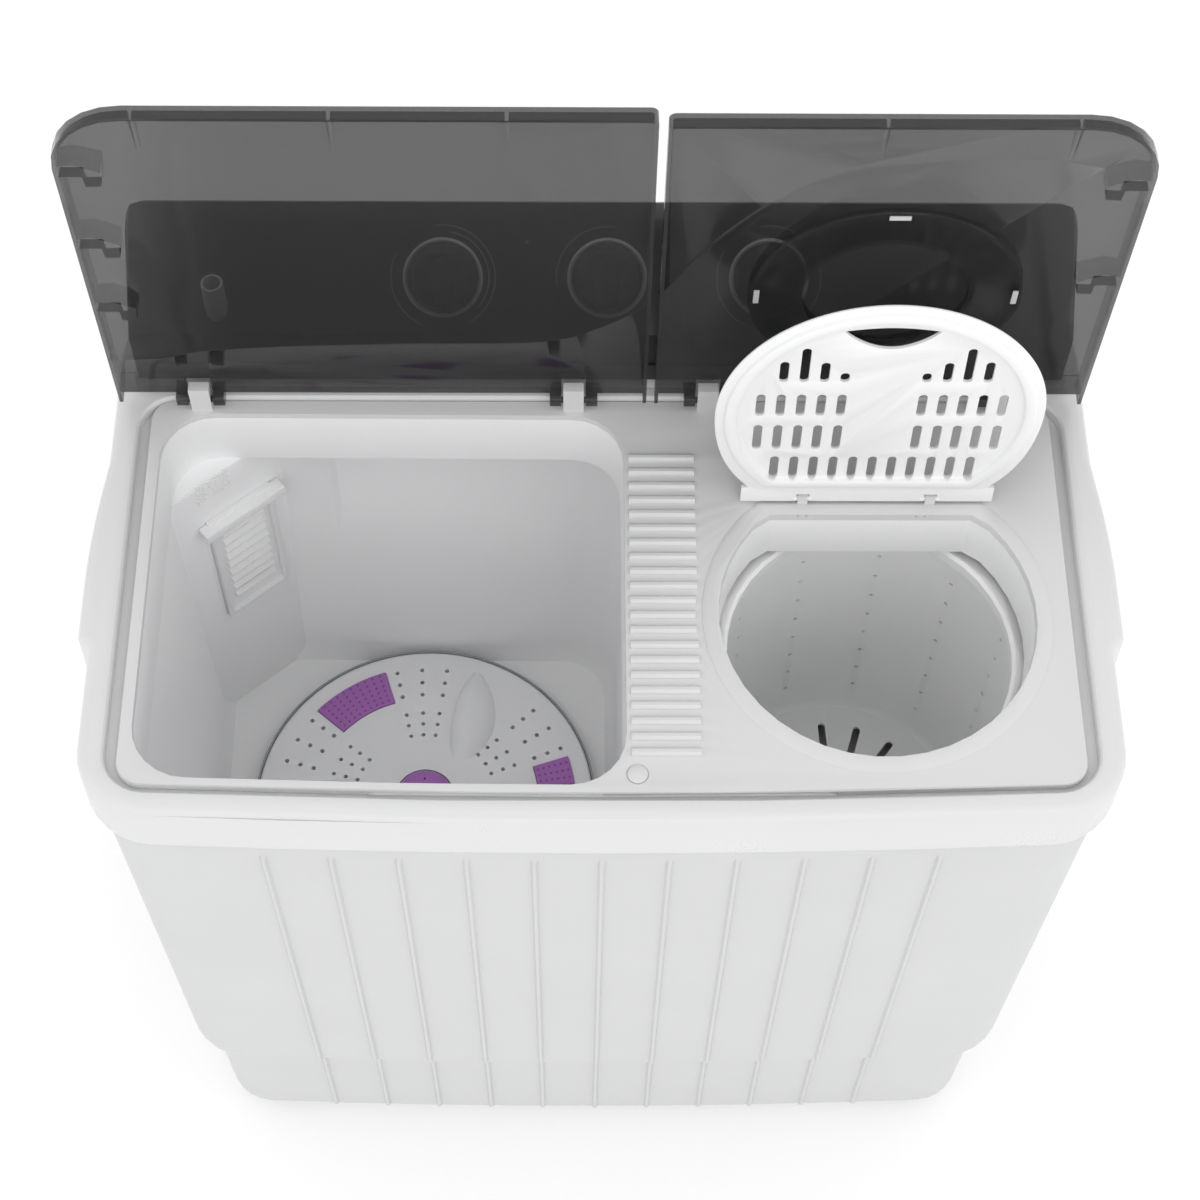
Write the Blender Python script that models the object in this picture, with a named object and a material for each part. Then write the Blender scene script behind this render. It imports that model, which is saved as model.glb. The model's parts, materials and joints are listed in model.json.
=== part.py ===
"""Twin tub top load washing machine: wash tub on the left, spin basket on the right.

Metres, +Z up, X to the right, Y to the back. The origin is on the floor, under the middle of the
machine. Both smoked lids and the spin cover stand open, which is where every joint is at zero.
"""
import bpy
import bmesh
import math
from mathutils import Matrix, Vector

# Overall sizes
WIDTH = 0.600              # over the top frame, without the side grips
DECK_DEPTH = 0.2855        # front of the top frame to the rear edge of the deck
HOUSING_DEPTH = 0.075      # control housing, behind the deck
RIM_TOP = 0.595            # floor to the top of the top frame
FOOT_HEIGHT = 0.013
GAP = 0.0003               # between pieces that touch
WALL = 0.0025              # moulded walls
BOW = 0.0075               # how far the ends of the bowed front lie behind its middle

# Cabinet and base
CABINET_INSET = 0.004      # cabinet side behind the top frame's side
FRONT_INSET = 0.005
CABINET_DRAFT = 0.019      # inward slope of the front, metres per metre
SIDE_DRAFT = 0.0075
CABINET_RADIUS = 0.038
BASE_TOP = 0.154
BASE_INSET = 0.010
RIB_COUNT = 11
RIB_PITCH = 0.03975
RIB_WIDTH = 0.0045
RIB_HEIGHT = 0.0022
RIB_START = 0.066          # below the rim top
FOOT_RADIUS = 0.017

# Top frame and deck
RIM_SKIRT = 0.046
RIM_WIDTH = 0.016
RIM_RADIUS = 0.040
FRONT_RIM_SHARE = 0.8      # the front of the frame is this much narrower than its sides
CHANNEL_WIDTH = 0.007
CHANNEL_DEPTH = 0.009
GRIP_BULGE = 0.0070
GRIP_FRONT = -0.0740
GRIP_BACK = 0.0600
DECK_DROP = 0.003          # deck surface below the rim top
SKIRT = 0.0018

# Wash side
WASH_MARGIN = 0.0305       # opening's left edge from the side of the machine
WASH_OPENING_WIDTH = 0.283
WASH_FRONT_MARGIN = 0.0240
WASH_BACK_MARGIN = 0.0105
WASH_RADIUS = 0.032
WASH_SKIRT_DEPTH = 0.050
WASH_TUB_DEPTH = 0.330
TUB_WALL = 0.0020
TUB_REACH = 0.0065         # how far the wash tub runs back behind the deck's rear edge
PULSATOR_RADIUS = 0.1185
PULSATOR_INSET = 0.1480    # wash opening's left edge to the centre of the pulsator
PULSATOR_Y = -0.0180
PULSATOR_RISE = 0.012      # top of the pulsator above the tub's floor
SHAFT_RADIUS = 0.005

# Spin side
SPIN_X = 0.1625
SPIN_Y = -0.0458
MOUTH_RADIUS = 0.0935
MOUTH_CHORD = 0.0680       # centre of the mouth to its flat rear edge
MOUTH_SKIRT_DEPTH = 0.042
BASKET_RADIUS = 0.0975
BASKET_TOP = 0.547
BASKET_FLOOR = 0.305
SPIN_TUB_RADIUS = 0.1075   # inner radius
SPIN_TUB_FLOOR = 0.283

# Lids, cover and housing
HINGE_INSET = 0.0035       # hinge line of the lids in front of the deck's rear edge
HINGE_RISE = 0.005         # and above the rim top
LID_LENGTH = 0.2685
LID_SIDE_INSET = 0.005
LID_GAP_X = 0.030
LID_GAP = 0.005
LID_FLANGE = 0.0097
LID_RADIUS = 0.042
WASH_LID_LEAN = -1.0       # degrees past upright, negative leans forward
SPIN_LID_LEAN = -1.8
COVER_LEAN = 4.5
COVER_RADIUS = 0.0953
COVER_HINGE = 0.0790       # centre of the cover to its hinge line
COVER_THICK = 0.0025
COVER_X = 0.1598           # middle of the cover, a little to the left of the spin basket's
HOUSING_INSET = 0.0155     # housing's ends from the sides of the machine
HOUSING_FRONT = 0.0085     # housing's front wall behind the deck's rear edge
HOUSING_BASE_RISE = 0.0095
FACE_FOOT = 0.0556         # lower edge of the sloping face above the rim top
FACE_RUN = 0.0488          # run of the 45 degree face
KNOB_RADIUS = 0.0210
KNOB_HEIGHT = 0.0160
KNOB_SPINDLE = 0.003
KNOB_XS = {"wash_timer_knob": -0.0950, "drain_selector_knob": 0.0030, "spin_timer_knob": 0.0995}

FRONT = -(DECK_DEPTH + HOUSING_DEPTH) / 2
BACK = -FRONT
DECK_REAR = FRONT + DECK_DEPTH
HALF = WIDTH / 2
DECK_TOP = RIM_TOP - DECK_DROP
DECK_HALF = HALF - RIM_WIDTH - CHANNEL_WIDTH
DECK_FRONT = FRONT + (RIM_WIDTH + CHANNEL_WIDTH) * FRONT_RIM_SHARE
DECK_THICK = 0.0025
DECK_UNDER = DECK_TOP - DECK_THICK
CABINET_HALF = HALF - CABINET_INSET
CABINET_FRONT = FRONT + FRONT_INSET
CABINET_BACK = BACK - 0.0048
CABINET_TOP = RIM_TOP - 0.014
WASH_LEFT = -HALF + WASH_MARGIN
WASH_RIGHT = WASH_LEFT + WASH_OPENING_WIDTH
WASH_FRONT = FRONT + WASH_FRONT_MARGIN
WASH_BACK = DECK_REAR - WASH_BACK_MARGIN
TUB_FLOOR = RIM_TOP - WASH_TUB_DEPTH
PULSATOR_TOP = TUB_FLOOR + PULSATOR_RISE
PULSATOR_X = WASH_LEFT + PULSATOR_INSET
TUB_BACK = DECK_REAR + TUB_REACH
HINGE_Y = DECK_REAR - HINGE_INSET
HINGE_Z = RIM_TOP + HINGE_RISE
COVER_HINGE_Y = SPIN_Y + COVER_HINGE
COVER_HINGE_Z = RIM_TOP + 0.0015
HOUSING_HALF = HALF - HOUSING_INSET
HOUSING_Y = DECK_REAR + HOUSING_FRONT
HOUSING_BASE_TOP = RIM_TOP + HOUSING_BASE_RISE
FACE_NORMAL = Vector((0, -math.sqrt(0.5), math.sqrt(0.5)))
FACE_MIDDLE = Vector((0, HOUSING_Y + FACE_RUN / 2, RIM_TOP + FACE_FOOT + FACE_RUN / 2))
FACE_TURN = math.radians(45)
POST_XS = (-0.2460, -0.0170, 0.0655, 0.2460)
POST_WIDTH = 0.0125
POST_HEIGHT = 0.0185

COLOURS = {
    "white": ((0.83, 0.83, 0.84), 0.35, 0.0, 1.0),
    "tub white": ((0.74, 0.75, 0.77), 0.30, 0.0, 1.0),
    "smoke": ((0.07, 0.07, 0.075), 0.12, 0.0, 0.6),
    "black": ((0.02, 0.02, 0.022), 0.40, 0.0, 1.0),
    "purple": ((0.19, 0.05, 0.33), 0.45, 0.0, 1.0),
    "rubber": ((0.03, 0.03, 0.03), 0.80, 0.0, 1.0),
    "steel": ((0.55, 0.56, 0.58), 0.30, 1.0, 1.0),
    "aluminium": ((0.62, 0.62, 0.62), 0.40, 1.0, 1.0),
    "grey plastic": ((0.42, 0.43, 0.44), 0.50, 0.0, 1.0),
}


def make_material(name, finish):
    colour, roughness, metallic, alpha = COLOURS[finish]
    material = bpy.data.materials.new(name)
    material.use_nodes = True
    shader = material.node_tree.nodes["Principled BSDF"]
    shader.inputs["Base Color"].default_value = (*colour, 1.0)
    shader.inputs["Roughness"].default_value = roughness
    shader.inputs["Metallic"].default_value = metallic
    shader.inputs["Alpha"].default_value = alpha
    material.diffuse_color = (*colour, alpha)
    return material


def add_object(name, mesh, finish=None, smooth=False):
    obj = bpy.data.objects.new(name, mesh)
    bpy.context.collection.objects.link(obj)
    if finish:
        mesh.materials.append(make_material(name + " finish", finish))
    if smooth:
        mesh.shade_smooth()
        mesh.set_sharp_from_angle(angle=math.radians(35))
    return obj


def loft(name, rings, finish=None, looped=False, smooth=False):
    """Skin rings of equal length. Without looped, the first and last ring are capped."""
    shape = bmesh.new()
    loops = [[shape.verts.new(point) for point in ring] for ring in rings]
    following = loops[1:] + ([loops[0]] if looped else [])
    count = len(loops[0])
    for low, high in zip(loops, following):
        for i in range(count):
            j = (i + 1) % count
            shape.faces.new((low[i], low[j], high[j], high[i]))
    if not looped:
        shape.faces.new(loops[0])
        shape.faces.new(loops[-1])
    bmesh.ops.recalc_face_normals(shape, faces=shape.faces)
    mesh = bpy.data.meshes.new(name)
    shape.to_mesh(mesh)
    shape.free()
    return add_object(name, mesh, finish, smooth)


def merge_shapes(name, objects):
    """One helper mesh from several closed shapes that stay apart."""
    shape = bmesh.new()
    for obj in objects:
        part = obj.data.copy()
        part.transform(obj.matrix_basis)
        shape.from_mesh(part)
        bpy.data.objects.remove(obj)
    mesh = bpy.data.meshes.new(name)
    shape.to_mesh(mesh)
    shape.free()
    return add_object(name, mesh)


def boolean(obj, helper, operation):
    modifier = obj.modifiers.new(helper.name, "BOOLEAN")
    modifier.operation = operation
    modifier.solver = "EXACT"
    modifier.object = helper
    helper.hide_render = True
    helper.display_type = "WIRE"


def cut(obj, helper):
    boolean(obj, helper, "DIFFERENCE")


def unite(obj, helper):
    boolean(obj, helper, "UNION")


def place_origin(obj, point):
    obj.data.transform(Matrix.Translation(-Vector(point)))
    obj.location = point


def block(name, low, high, finish=None):
    corners = ((low[0], low[1]), (high[0], low[1]), (high[0], high[1]), (low[0], high[1]))
    return loft(name, [[Vector((x, y, z)) for x, y in corners] for z in (low[2], high[2])], finish)


def circle(radius, z, count, x=0.0, y=0.0, phase=0.0):
    steps = [2 * math.pi * i / count + phase for i in range(count)]
    return [Vector((x + radius * math.cos(a), y + radius * math.sin(a), z)) for a in steps]


def turned(name, profile, count, at, finish=None, looped=False, axis=None):
    """Turned piece: profile is a list of (radius, height) along the axis."""
    obj = loft(name, [circle(r, z, count) for r, z in profile], finish, looped, smooth=True)
    obj.location = at
    if axis:
        obj.rotation_euler = Vector((0, 0, 1)).rotation_difference(Vector(axis)).to_euler()
    return obj


def frame_outline(left, right, front, back, radius, z, inner=None, bow=BOW):
    """Rounded rectangle seen from above, anticlockwise from the front left corner.

    inner gives the points of the straight runs: front x values, side y values, and offsets.
    """
    inner = inner or {}
    front_xs = inner.get("front_xs", [(left + right) / 2 + (right - left) * s for s in (-0.36, -0.24, -0.12, 0.0, 0.12, 0.24, 0.36)])
    side_ys = inner.get("side_ys", [])
    front_offset = inner.get("front_offset", lambda x: 0.0)
    side_offset = inner.get("side_offset", lambda y: 0.0)
    steps = inner.get("steps", 6)

    def corner(cx, cy, start):
        angles = [start + math.pi / 2 * i / steps for i in range(steps + 1)]
        return [(cx + radius * math.cos(a), cy + radius * math.sin(a)) for a in angles]

    points = corner(left + radius, front + radius, math.pi)
    points += [(x, front - front_offset(x)) for x in front_xs]
    points += corner(right - radius, front + radius, -math.pi / 2)
    points += [(right + side_offset(y), y) for y in side_ys]
    points += corner(right - radius, back - radius, 0.0)
    points += [(x, back) for x in inner.get("back_xs", [])]
    points += corner(left + radius, back - radius, math.pi / 2)
    points += [(left - side_offset(y), y) for y in reversed(side_ys)]
    shaped = []
    for x, y in points:
        share = (BACK - y) / (BACK - FRONT)
        shaped.append(Vector((x, y + bow * (x / HALF) ** 2 * share, z)))
    return shaped


def rib_points():
    xs = []
    tops = set()
    for i in range(RIB_COUNT):
        x = (i - (RIB_COUNT - 1) / 2) * RIB_PITCH
        xs += [x - RIB_WIDTH / 2, x - RIB_WIDTH / 5, x + RIB_WIDTH / 5, x + RIB_WIDTH / 2]
        tops |= {xs[-3], xs[-2]}
    return xs, tops


RIB_XS, RIB_TOPS = rib_points()


def ribbed(height):
    return {"front_xs": RIB_XS, "front_offset": lambda x: height if x in RIB_TOPS else 0.0}


def cabinet_ring(z, inset, rib_height=0.0):
    drop = RIM_TOP - RIM_SKIRT - z
    half = CABINET_HALF - SIDE_DRAFT * drop - inset
    front = CABINET_FRONT + CABINET_DRAFT * drop + inset
    return frame_outline(-half, half, front, CABINET_BACK - inset, CABINET_RADIUS - inset, z,
                         ribbed(rib_height))


def make_cabinet():
    rib_top = RIM_TOP - RIB_START
    outer = [(BASE_TOP, 0.0), (BASE_TOP + 0.002, RIB_HEIGHT), (rib_top - 0.006, RIB_HEIGHT),
             (rib_top, 0.0), (CABINET_TOP, 0.0)]
    rings = [cabinet_ring(z, 0.0, rib) for z, rib in outer]
    rings += [cabinet_ring(CABINET_TOP, WALL), cabinet_ring(BASE_TOP, WALL)]
    cabinet = loft("cabinet_shell", rings, "white", looped=True)
    rear_low = Vector((-COVER_PANEL_HALF + 0.010, CABINET_BACK - 0.02, COVER_PANEL_LOW + 0.010))
    rear_high = Vector((COVER_PANEL_HALF - 0.010, CABINET_BACK + 0.02, COVER_PANEL_HIGH - 0.010))
    cut(cabinet, block("rear_opening_cutter", rear_low, rear_high))
    for side in (-1, 1):
        low = (side * (HALF - 0.015) - 0.015, CUP_FRONT - GAP, CUP_LOW - GAP)
        high = (side * (HALF - 0.015) + 0.015, CUP_BACK + GAP, CUP_HIGH + GAP)
        cut(cabinet, block(f"grip_hole_cutter_{side}", low, high))


COVER_PANEL_HALF = 0.235
COVER_PANEL_LOW = 0.190
COVER_PANEL_HIGH = 0.520
CUP_FRONT = GRIP_FRONT + 0.014
CUP_BACK = GRIP_BACK - 0.010
CUP_LOW = RIM_TOP - 0.095
CUP_HIGH = RIM_TOP - 0.052
CUP_DEPTH = 0.0175


def make_grip_cups():
    """Moulded hand cups let into the cabinet's sides, under the bulged lips of the top frame."""
    for name, side in (("left_grip_cup", -1), ("right_grip_cup", 1)):
        face = CABINET_HALF + GAP
        sections = [(face, 0.003), (face + 0.0012, 0.003), (face + 0.0012, -0.0018),
                    (face - CUP_DEPTH + WALL, -0.004), (face - CUP_DEPTH, -0.0025),
                    (face, -GAP)]
        rings = []
        for x, grow in sections:
            y0, y1 = CUP_FRONT - grow, CUP_BACK + grow
            z0, z1 = CUP_LOW - grow, CUP_HIGH + min(grow, 0.0022)
            c = 0.006
            loop = [(y0 + c, z0), (y1 - c, z0), (y1, z0 + c), (y1, z1 - c),
                    (y1 - c, z1), (y0 + c, z1), (y0, z1 - c), (y0, z0 + c)]
            rings.append([Vector((side * x, y, z)) for y, z in loop])
        order = [rings[i] for i in (3, 2, 1, 0, 5, 4)]
        loft(name, order, "white")


def base_ring(z, inset, rib_height=0.0):
    drop = RIM_TOP - RIM_SKIRT - BASE_TOP
    half = CABINET_HALF - SIDE_DRAFT * drop - inset
    front = CABINET_FRONT + CABINET_DRAFT * drop + inset
    return frame_outline(-half, half, front, CABINET_BACK - inset, CABINET_RADIUS - inset * 0.5, z,
                         ribbed(rib_height))


def make_base():
    ledge = BASE_TOP - GAP
    rings = [base_ring(FOOT_HEIGHT, BASE_INSET + 0.006), base_ring(FOOT_HEIGHT + 0.004, BASE_INSET + 0.002),
             base_ring(FOOT_HEIGHT + 0.006, BASE_INSET + 0.002, RIB_HEIGHT),
             base_ring(ledge - 0.012, BASE_INSET, RIB_HEIGHT), base_ring(ledge - 0.010, BASE_INSET),
             base_ring(ledge - 0.004, 0.0008), base_ring(ledge, 0.0008),
             base_ring(ledge, WALL + 0.001), base_ring(ledge + 0.008, WALL + 0.001),
             base_ring(ledge + 0.008, WALL + 0.004), base_ring(ledge - 0.002, WALL + 0.004),
             base_ring(ledge - 0.010, BASE_INSET + 0.003), base_ring(BASE_FLOOR, BASE_INSET + 0.005)]
    base = loft("base_frame", rings, "white")
    vents = [block("vent", (x - 0.035, y - 0.004, 0), (x + 0.035, y + 0.004, BASE_FLOOR + 0.01))
             for x in (-0.02, SPIN_X) for y in (-0.075, -0.045, -0.015)]
    cut(base, merge_shapes("vent_cutters", vents))
    bore = turned("outlet_hole_cutter", [(OUTLET_RADIUS + 0.001, -0.03), (OUTLET_RADIUS + 0.001, 0.03)], 16,
                  (VALVE_X, CABINET_BACK - BASE_INSET, OUTLET_Z), axis=(0, 1, 0))
    cut(base, bore)


BASE_FLOOR = FOOT_HEIGHT + 0.0035


def make_feet():
    for name, x, y in (("foot_front_left", -0.235, FRONT + 0.062), ("foot_front_right", 0.235, FRONT + 0.062),
                       ("foot_rear_left", -0.235, BACK - 0.050), ("foot_rear_right", 0.235, BACK - 0.050)):
        top = FOOT_HEIGHT - GAP
        profile = [(FOOT_RADIUS - 0.002, 0.0), (FOOT_RADIUS, 0.002), (FOOT_RADIUS - 0.003, top)]
        turned(name, profile, 16, (x, y, 0), "rubber")


def make_rear_cover():
    y = CABINET_BACK + GAP
    rings = []
    for depth, grow in ((0.0, 0.0), (0.0012, 0.0), (0.0024, -0.008)):
        x, low, high = COVER_PANEL_HALF + grow, COVER_PANEL_LOW - grow, COVER_PANEL_HIGH + grow
        c = 0.012
        loop = [(-x + c, low), (x - c, low), (x, low + c), (x, high - c),
                (x - c, high), (-x + c, high), (-x, high - c), (-x, low + c)]
        rings.append([Vector((px, y + depth, pz)) for px, pz in loop])
    cover = loft("rear_cover", rings, "white")
    slots = []
    for row in range(2):
        for i in range(9):
            x = 0.03 + i * 0.018
            z = 0.235 + row * 0.06
            slots.append(block("slot", (x, y - 0.01, z), (x + 0.006, y + 0.01, z + 0.045)))
    cut(cover, merge_shapes("louvre_cutters", slots))
    gland_hole = turned("gland_hole_cutter", [(0.0068, -0.01), (0.0068, 0.01)], 16, GLAND_AT, axis=(0, 1, 0))
    cut(cover, gland_hole)


GLAND_AT = (-0.190, CABINET_BACK, 0.225)


def make_cable_gland():
    profile = [(0.0040, -0.010), (0.0065, -0.010), (0.0065, 0.0029), (0.0105, 0.0029), (0.0105, 0.0046),
               (0.0040, 0.0046)]
    turned("cable_gland", profile, 16, GLAND_AT, "black", looped=True, axis=(0, 1, 0))


def grip_offset(y):
    """Bulge of the side grips: slow rise from the back, steep end at the front."""
    if not GRIP_FRONT < y < GRIP_BACK:
        return 0.0
    share = (GRIP_BACK - y) / (GRIP_BACK - GRIP_FRONT)
    rise = min(1.0, share / 0.65)
    fall = min(1.0, (1.0 - share) / 0.05)
    return GRIP_BULGE * math.sin(rise * math.pi / 2) * fall


GRIP_YS = [GRIP_FRONT - 0.001, GRIP_FRONT + 0.004, GRIP_FRONT + 0.008, -0.055, -0.04, -0.02, 0.0, 0.02, 0.04,
           GRIP_BACK]


def rim_ring(inset, drop, bulge=0.0):
    inner = {"front_xs": [HALF * s for s in (-0.6, -0.3, 0.0, 0.3, 0.6)], "side_ys": GRIP_YS,
             "side_offset": lambda y: grip_offset(y) * bulge, "steps": 7}
    back = BACK - inset if inset < RIM_WIDTH - 0.002 else DECK_REAR + GAP + max(0, RIM_WIDTH - inset)
    if inset > RIM_WIDTH:
        back = DECK_REAR + GAP - (inset - RIM_WIDTH) * 0.25
    return frame_outline(-HALF + inset, HALF - inset, FRONT + inset * FRONT_RIM_SHARE, back,
                         max(RIM_RADIUS - inset, 0.012), RIM_TOP - drop, inner)


def make_top_rim():
    ledge = RIM_WIDTH + CHANNEL_WIDTH + 0.001
    inner_wall = RIM_WIDTH - WALL
    sections = [(0.0, RIM_SKIRT, 1.0), (-0.001, RIM_SKIRT - 0.004, 1.0), (0.0, 0.006, 1.0), (0.0018, 0.0016, 1.0),
                (0.006, 0.0, 0.9), (RIM_WIDTH - 0.0014, 0.0, 0.0), (RIM_WIDTH, 0.0014, 0.0),
                (RIM_WIDTH, CHANNEL_DEPTH, 0.0), (ledge, CHANNEL_DEPTH, 0.0),
                (ledge, CHANNEL_DEPTH + 0.002, 0.0), (inner_wall, CHANNEL_DEPTH + 0.002, 0.0),
                (inner_wall, WALL, 0.0), (0.006, WALL, 0.6), (WALL, 0.006, 1.0), (WALL, RIM_SKIRT, 1.0)]
    rings = [rim_ring(inset, drop, bulge) for inset, drop, bulge in sections]
    rim = loft("top_rim", rings, "white", looped=True)
    low = (-0.24, HOUSING_Y + 0.012, RIM_TOP - 0.03)
    high = (0.24, BACK - 0.020, RIM_TOP + 0.01)
    cut(rim, block("wiring_slot_cutter", low, high))


def mouth_outline(grow, z, count=40):
    """Round mouth with a flat rear edge."""
    radius = MOUTH_RADIUS + grow
    chord = MOUTH_CHORD + grow
    points = []
    for point in circle(radius, z, count, SPIN_X, SPIN_Y, phase=math.pi / count):
        points.append(Vector((point.x, min(point.y, SPIN_Y + chord), z)))
    return points


def wash_outline(grow, z):
    return frame_outline(WASH_LEFT - grow, WASH_RIGHT + grow, WASH_FRONT - grow, WASH_BACK + grow,
                         WASH_RADIUS + grow, z)


def deck_ring(inset, z):
    return frame_outline(-DECK_HALF + inset, DECK_HALF - inset, DECK_FRONT + inset,
                         DECK_REAR - GAP - inset, 0.014, z)


def make_deck():
    foot = RIM_TOP - CHANNEL_DEPTH + GAP
    rings = [deck_ring(0.0005, DECK_TOP), deck_ring(0.0, DECK_TOP - 0.0008), deck_ring(0.0, foot),
             deck_ring(0.0012, foot), deck_ring(0.0012, DECK_UNDER)]
    deck = loft("top_deck", rings, "white")
    buried = DECK_TOP - 0.0012
    skirt_end = RIM_TOP - WASH_SKIRT_DEPTH
    unite(deck, loft("wash_skirt_solid", [wash_outline(SKIRT, skirt_end), wash_outline(SKIRT, buried)]))
    mouth_end = RIM_TOP - MOUTH_SKIRT_DEPTH
    unite(deck, loft("spin_skirt_solid", [mouth_outline(0.002, mouth_end), mouth_outline(0.002, buried)]))
    unite(deck, loft("spin_platform_solid", [mouth_outline(0.011, buried), mouth_outline(0.010, DECK_TOP + 0.0006),
                                             mouth_outline(0.0065, PLATFORM_TOP)]))
    unite(deck, merge_shapes("washboard_solids", [washboard_rib(i) for i in range(WASHBOARD_COUNT)]))
    posts = [hinge_post(x) for x in POST_XS]
    lugs = [cover_lug(x) for x in COVER_LUG_XS]
    unite(deck, merge_shapes("post_solids", posts + lugs))
    above = RIM_TOP + 0.003
    cut(deck, loft("wash_cutter", [wash_outline(-0.0012, skirt_end - 0.001), wash_outline(0.0, DECK_TOP - 0.004),
                                   wash_outline(0.0008, above)]))
    cut(deck, loft("spin_cutter", [mouth_outline(-0.001, mouth_end - 0.001), mouth_outline(0.0, DECK_TOP - 0.004),
                                   mouth_outline(0.0008, above)]))
    cut(deck, turned("plug_hole_cutter", [(PLUG_RADIUS + GAP, -0.003), (PLUG_RADIUS + GAP, 0.01)], 20,
                     (PLUG_X, PLUG_Y, DECK_TOP - 0.0012 + 0.003)))
    pins = [turned("pin", [(PIN_RADIUS + GAP, -0.012), (PIN_RADIUS + GAP, 0.012)], 12, (x, HINGE_Y, HINGE_Z),
                   axis=(1, 0, 0)) for x in POST_XS]
    lug_pins = [turned("pin", [(PIN_RADIUS + GAP, -0.012), (PIN_RADIUS + GAP, 0.012)], 12,
                       (x, COVER_HINGE_Y, COVER_HINGE_Z), axis=(1, 0, 0)) for x in COVER_LUG_XS]
    cut(deck, merge_shapes("pin_bore_cutters", pins + lug_pins))


PLATFORM_TOP = DECK_TOP + 0.0018
WASHBOARD_COUNT = 21
WASHBOARD_PITCH = 0.0100
WASHBOARD_BACK = 0.0640
PIN_RADIUS = 0.0020
PLUG_RADIUS = 0.0060
PLUG_X = 0.0197
PLUG_Y = -0.1500
COVER_LUG_XS = (COVER_X - 0.0385, COVER_X + 0.0385)


def washboard_rib(i):
    y = WASHBOARD_BACK - i * WASHBOARD_PITCH
    section = [(-0.0032, -0.0012), (0.0032, -0.0012), (0.0026, 0.0010), (0.0010, 0.0024),
               (-0.0010, 0.0024), (-0.0026, 0.0010)]
    left = WASH_RIGHT + 0.0030
    right = SPIN_X - math.sqrt(max((MOUTH_RADIUS + 0.014) ** 2 - (y - SPIN_Y) ** 2, 0.0))
    right = min(right, left + 0.0400)
    return loft("rib", [[Vector((x, y + dy, DECK_TOP + dz)) for dy, dz in section] for x in (left, right)])


def hinge_post(x):
    half = POST_WIDTH / 2
    low = (x - half, DECK_REAR - 0.0070, DECK_TOP - 0.0012)
    high = (x + half, DECK_REAR - GAP, RIM_TOP + POST_HEIGHT)
    return block("post", low, high)


def cover_lug(x):
    y = COVER_HINGE_Y
    return block("lug", (x - 0.0030, y - 0.0030, DECK_TOP - 0.0012), (x + 0.0030, y + 0.0030, COVER_HINGE_Z + 0.0031))


def make_deck_plug():
    profile = [(PLUG_RADIUS, 0.0), (PLUG_RADIUS, 0.0016), (PLUG_RADIUS - 0.001, 0.0021)]
    turned("deck_screw_plug", profile, 20, (PLUG_X, PLUG_Y, DECK_TOP - 0.0009), "white")


def tub_ring(z, grow, left, right, front, back, radius, recess=0.0):
    x0, x1 = WASH_LEFT + 0.0975, WASH_RIGHT - 0.0435
    xs = [x1 + 0.004, x1, x0, x0 - 0.004]
    ring = frame_outline(left - grow, right + grow, front - grow, back + grow, radius + grow, z,
                         {"back_xs": xs})
    for point in ring:
        if x0 - 0.001 < point.x < x1 + 0.001 and point.y > back + grow - 0.001:
            point.y += recess
    return ring


TUB_RUN = TUB_BACK - WASH_BACK - SKIRT - GAP      # rear wall behind the deck's skirt
TUB_SECTIONS = (
    # depth below the rim, left, right, front, back (each measured outwards from the skirt), radius, recess
    (DECK_DROP + DECK_THICK + GAP, 0.0, 0.0, 0.0, 0.0, 0.034, 0.0),
    (0.014, 0.0, 0.0, 0.0, 0.0, 0.034, 0.0),
    (0.034, 0.0, 0.003, 0.004, TUB_RUN, 0.036, 0.004),
    (0.146, -0.002, 0.002, 0.002, TUB_RUN - 0.0010, 0.036, 0.004),
    (0.164, -0.002, 0.002, 0.002, TUB_RUN - 0.0020, 0.036, 0.0),
    (WASH_TUB_DEPTH - 0.012, -0.003, -0.001, -0.001, TUB_RUN - 0.0050, 0.036, 0.0),
    (WASH_TUB_DEPTH, -0.010, -0.010, -0.010, TUB_RUN - 0.0120, 0.030, 0.0),
)


def tub_rings(grow, lift):
    rings = []
    for depth, left, right, front, back, radius, recess in TUB_SECTIONS:
        edge = SKIRT + GAP
        z = RIM_TOP - depth - (lift if depth > 0.2 else 0.0)
        rings.append(tub_ring(z, grow, WASH_LEFT - edge - left, WASH_RIGHT + edge + right,
                              WASH_FRONT - edge - front, WASH_BACK + edge + back, radius, recess))
    return rings


def make_wash_tub():
    rings = list(reversed(tub_rings(TUB_WALL, TUB_WALL))) + tub_rings(0.0, 0.0)
    tub = loft("wash_tub", rings, "tub white", smooth=True)
    shaft_hole = turned("shaft_hole_cutter", [(SLEEVE_RADIUS + 0.0005, -0.02), (SLEEVE_RADIUS + 0.0005, 0.02)], 24,
                        (PULSATOR_X, PULSATOR_Y, TUB_FLOOR))
    cut(tub, shaft_hole)
    drain_hole = turned("drain_hole_cutter", [(0.0050, -0.01), (0.0050, 0.01)], 16, (VALVE_X, VALVE_Y, TUB_FLOOR))
    cut(tub, drain_hole)


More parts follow.
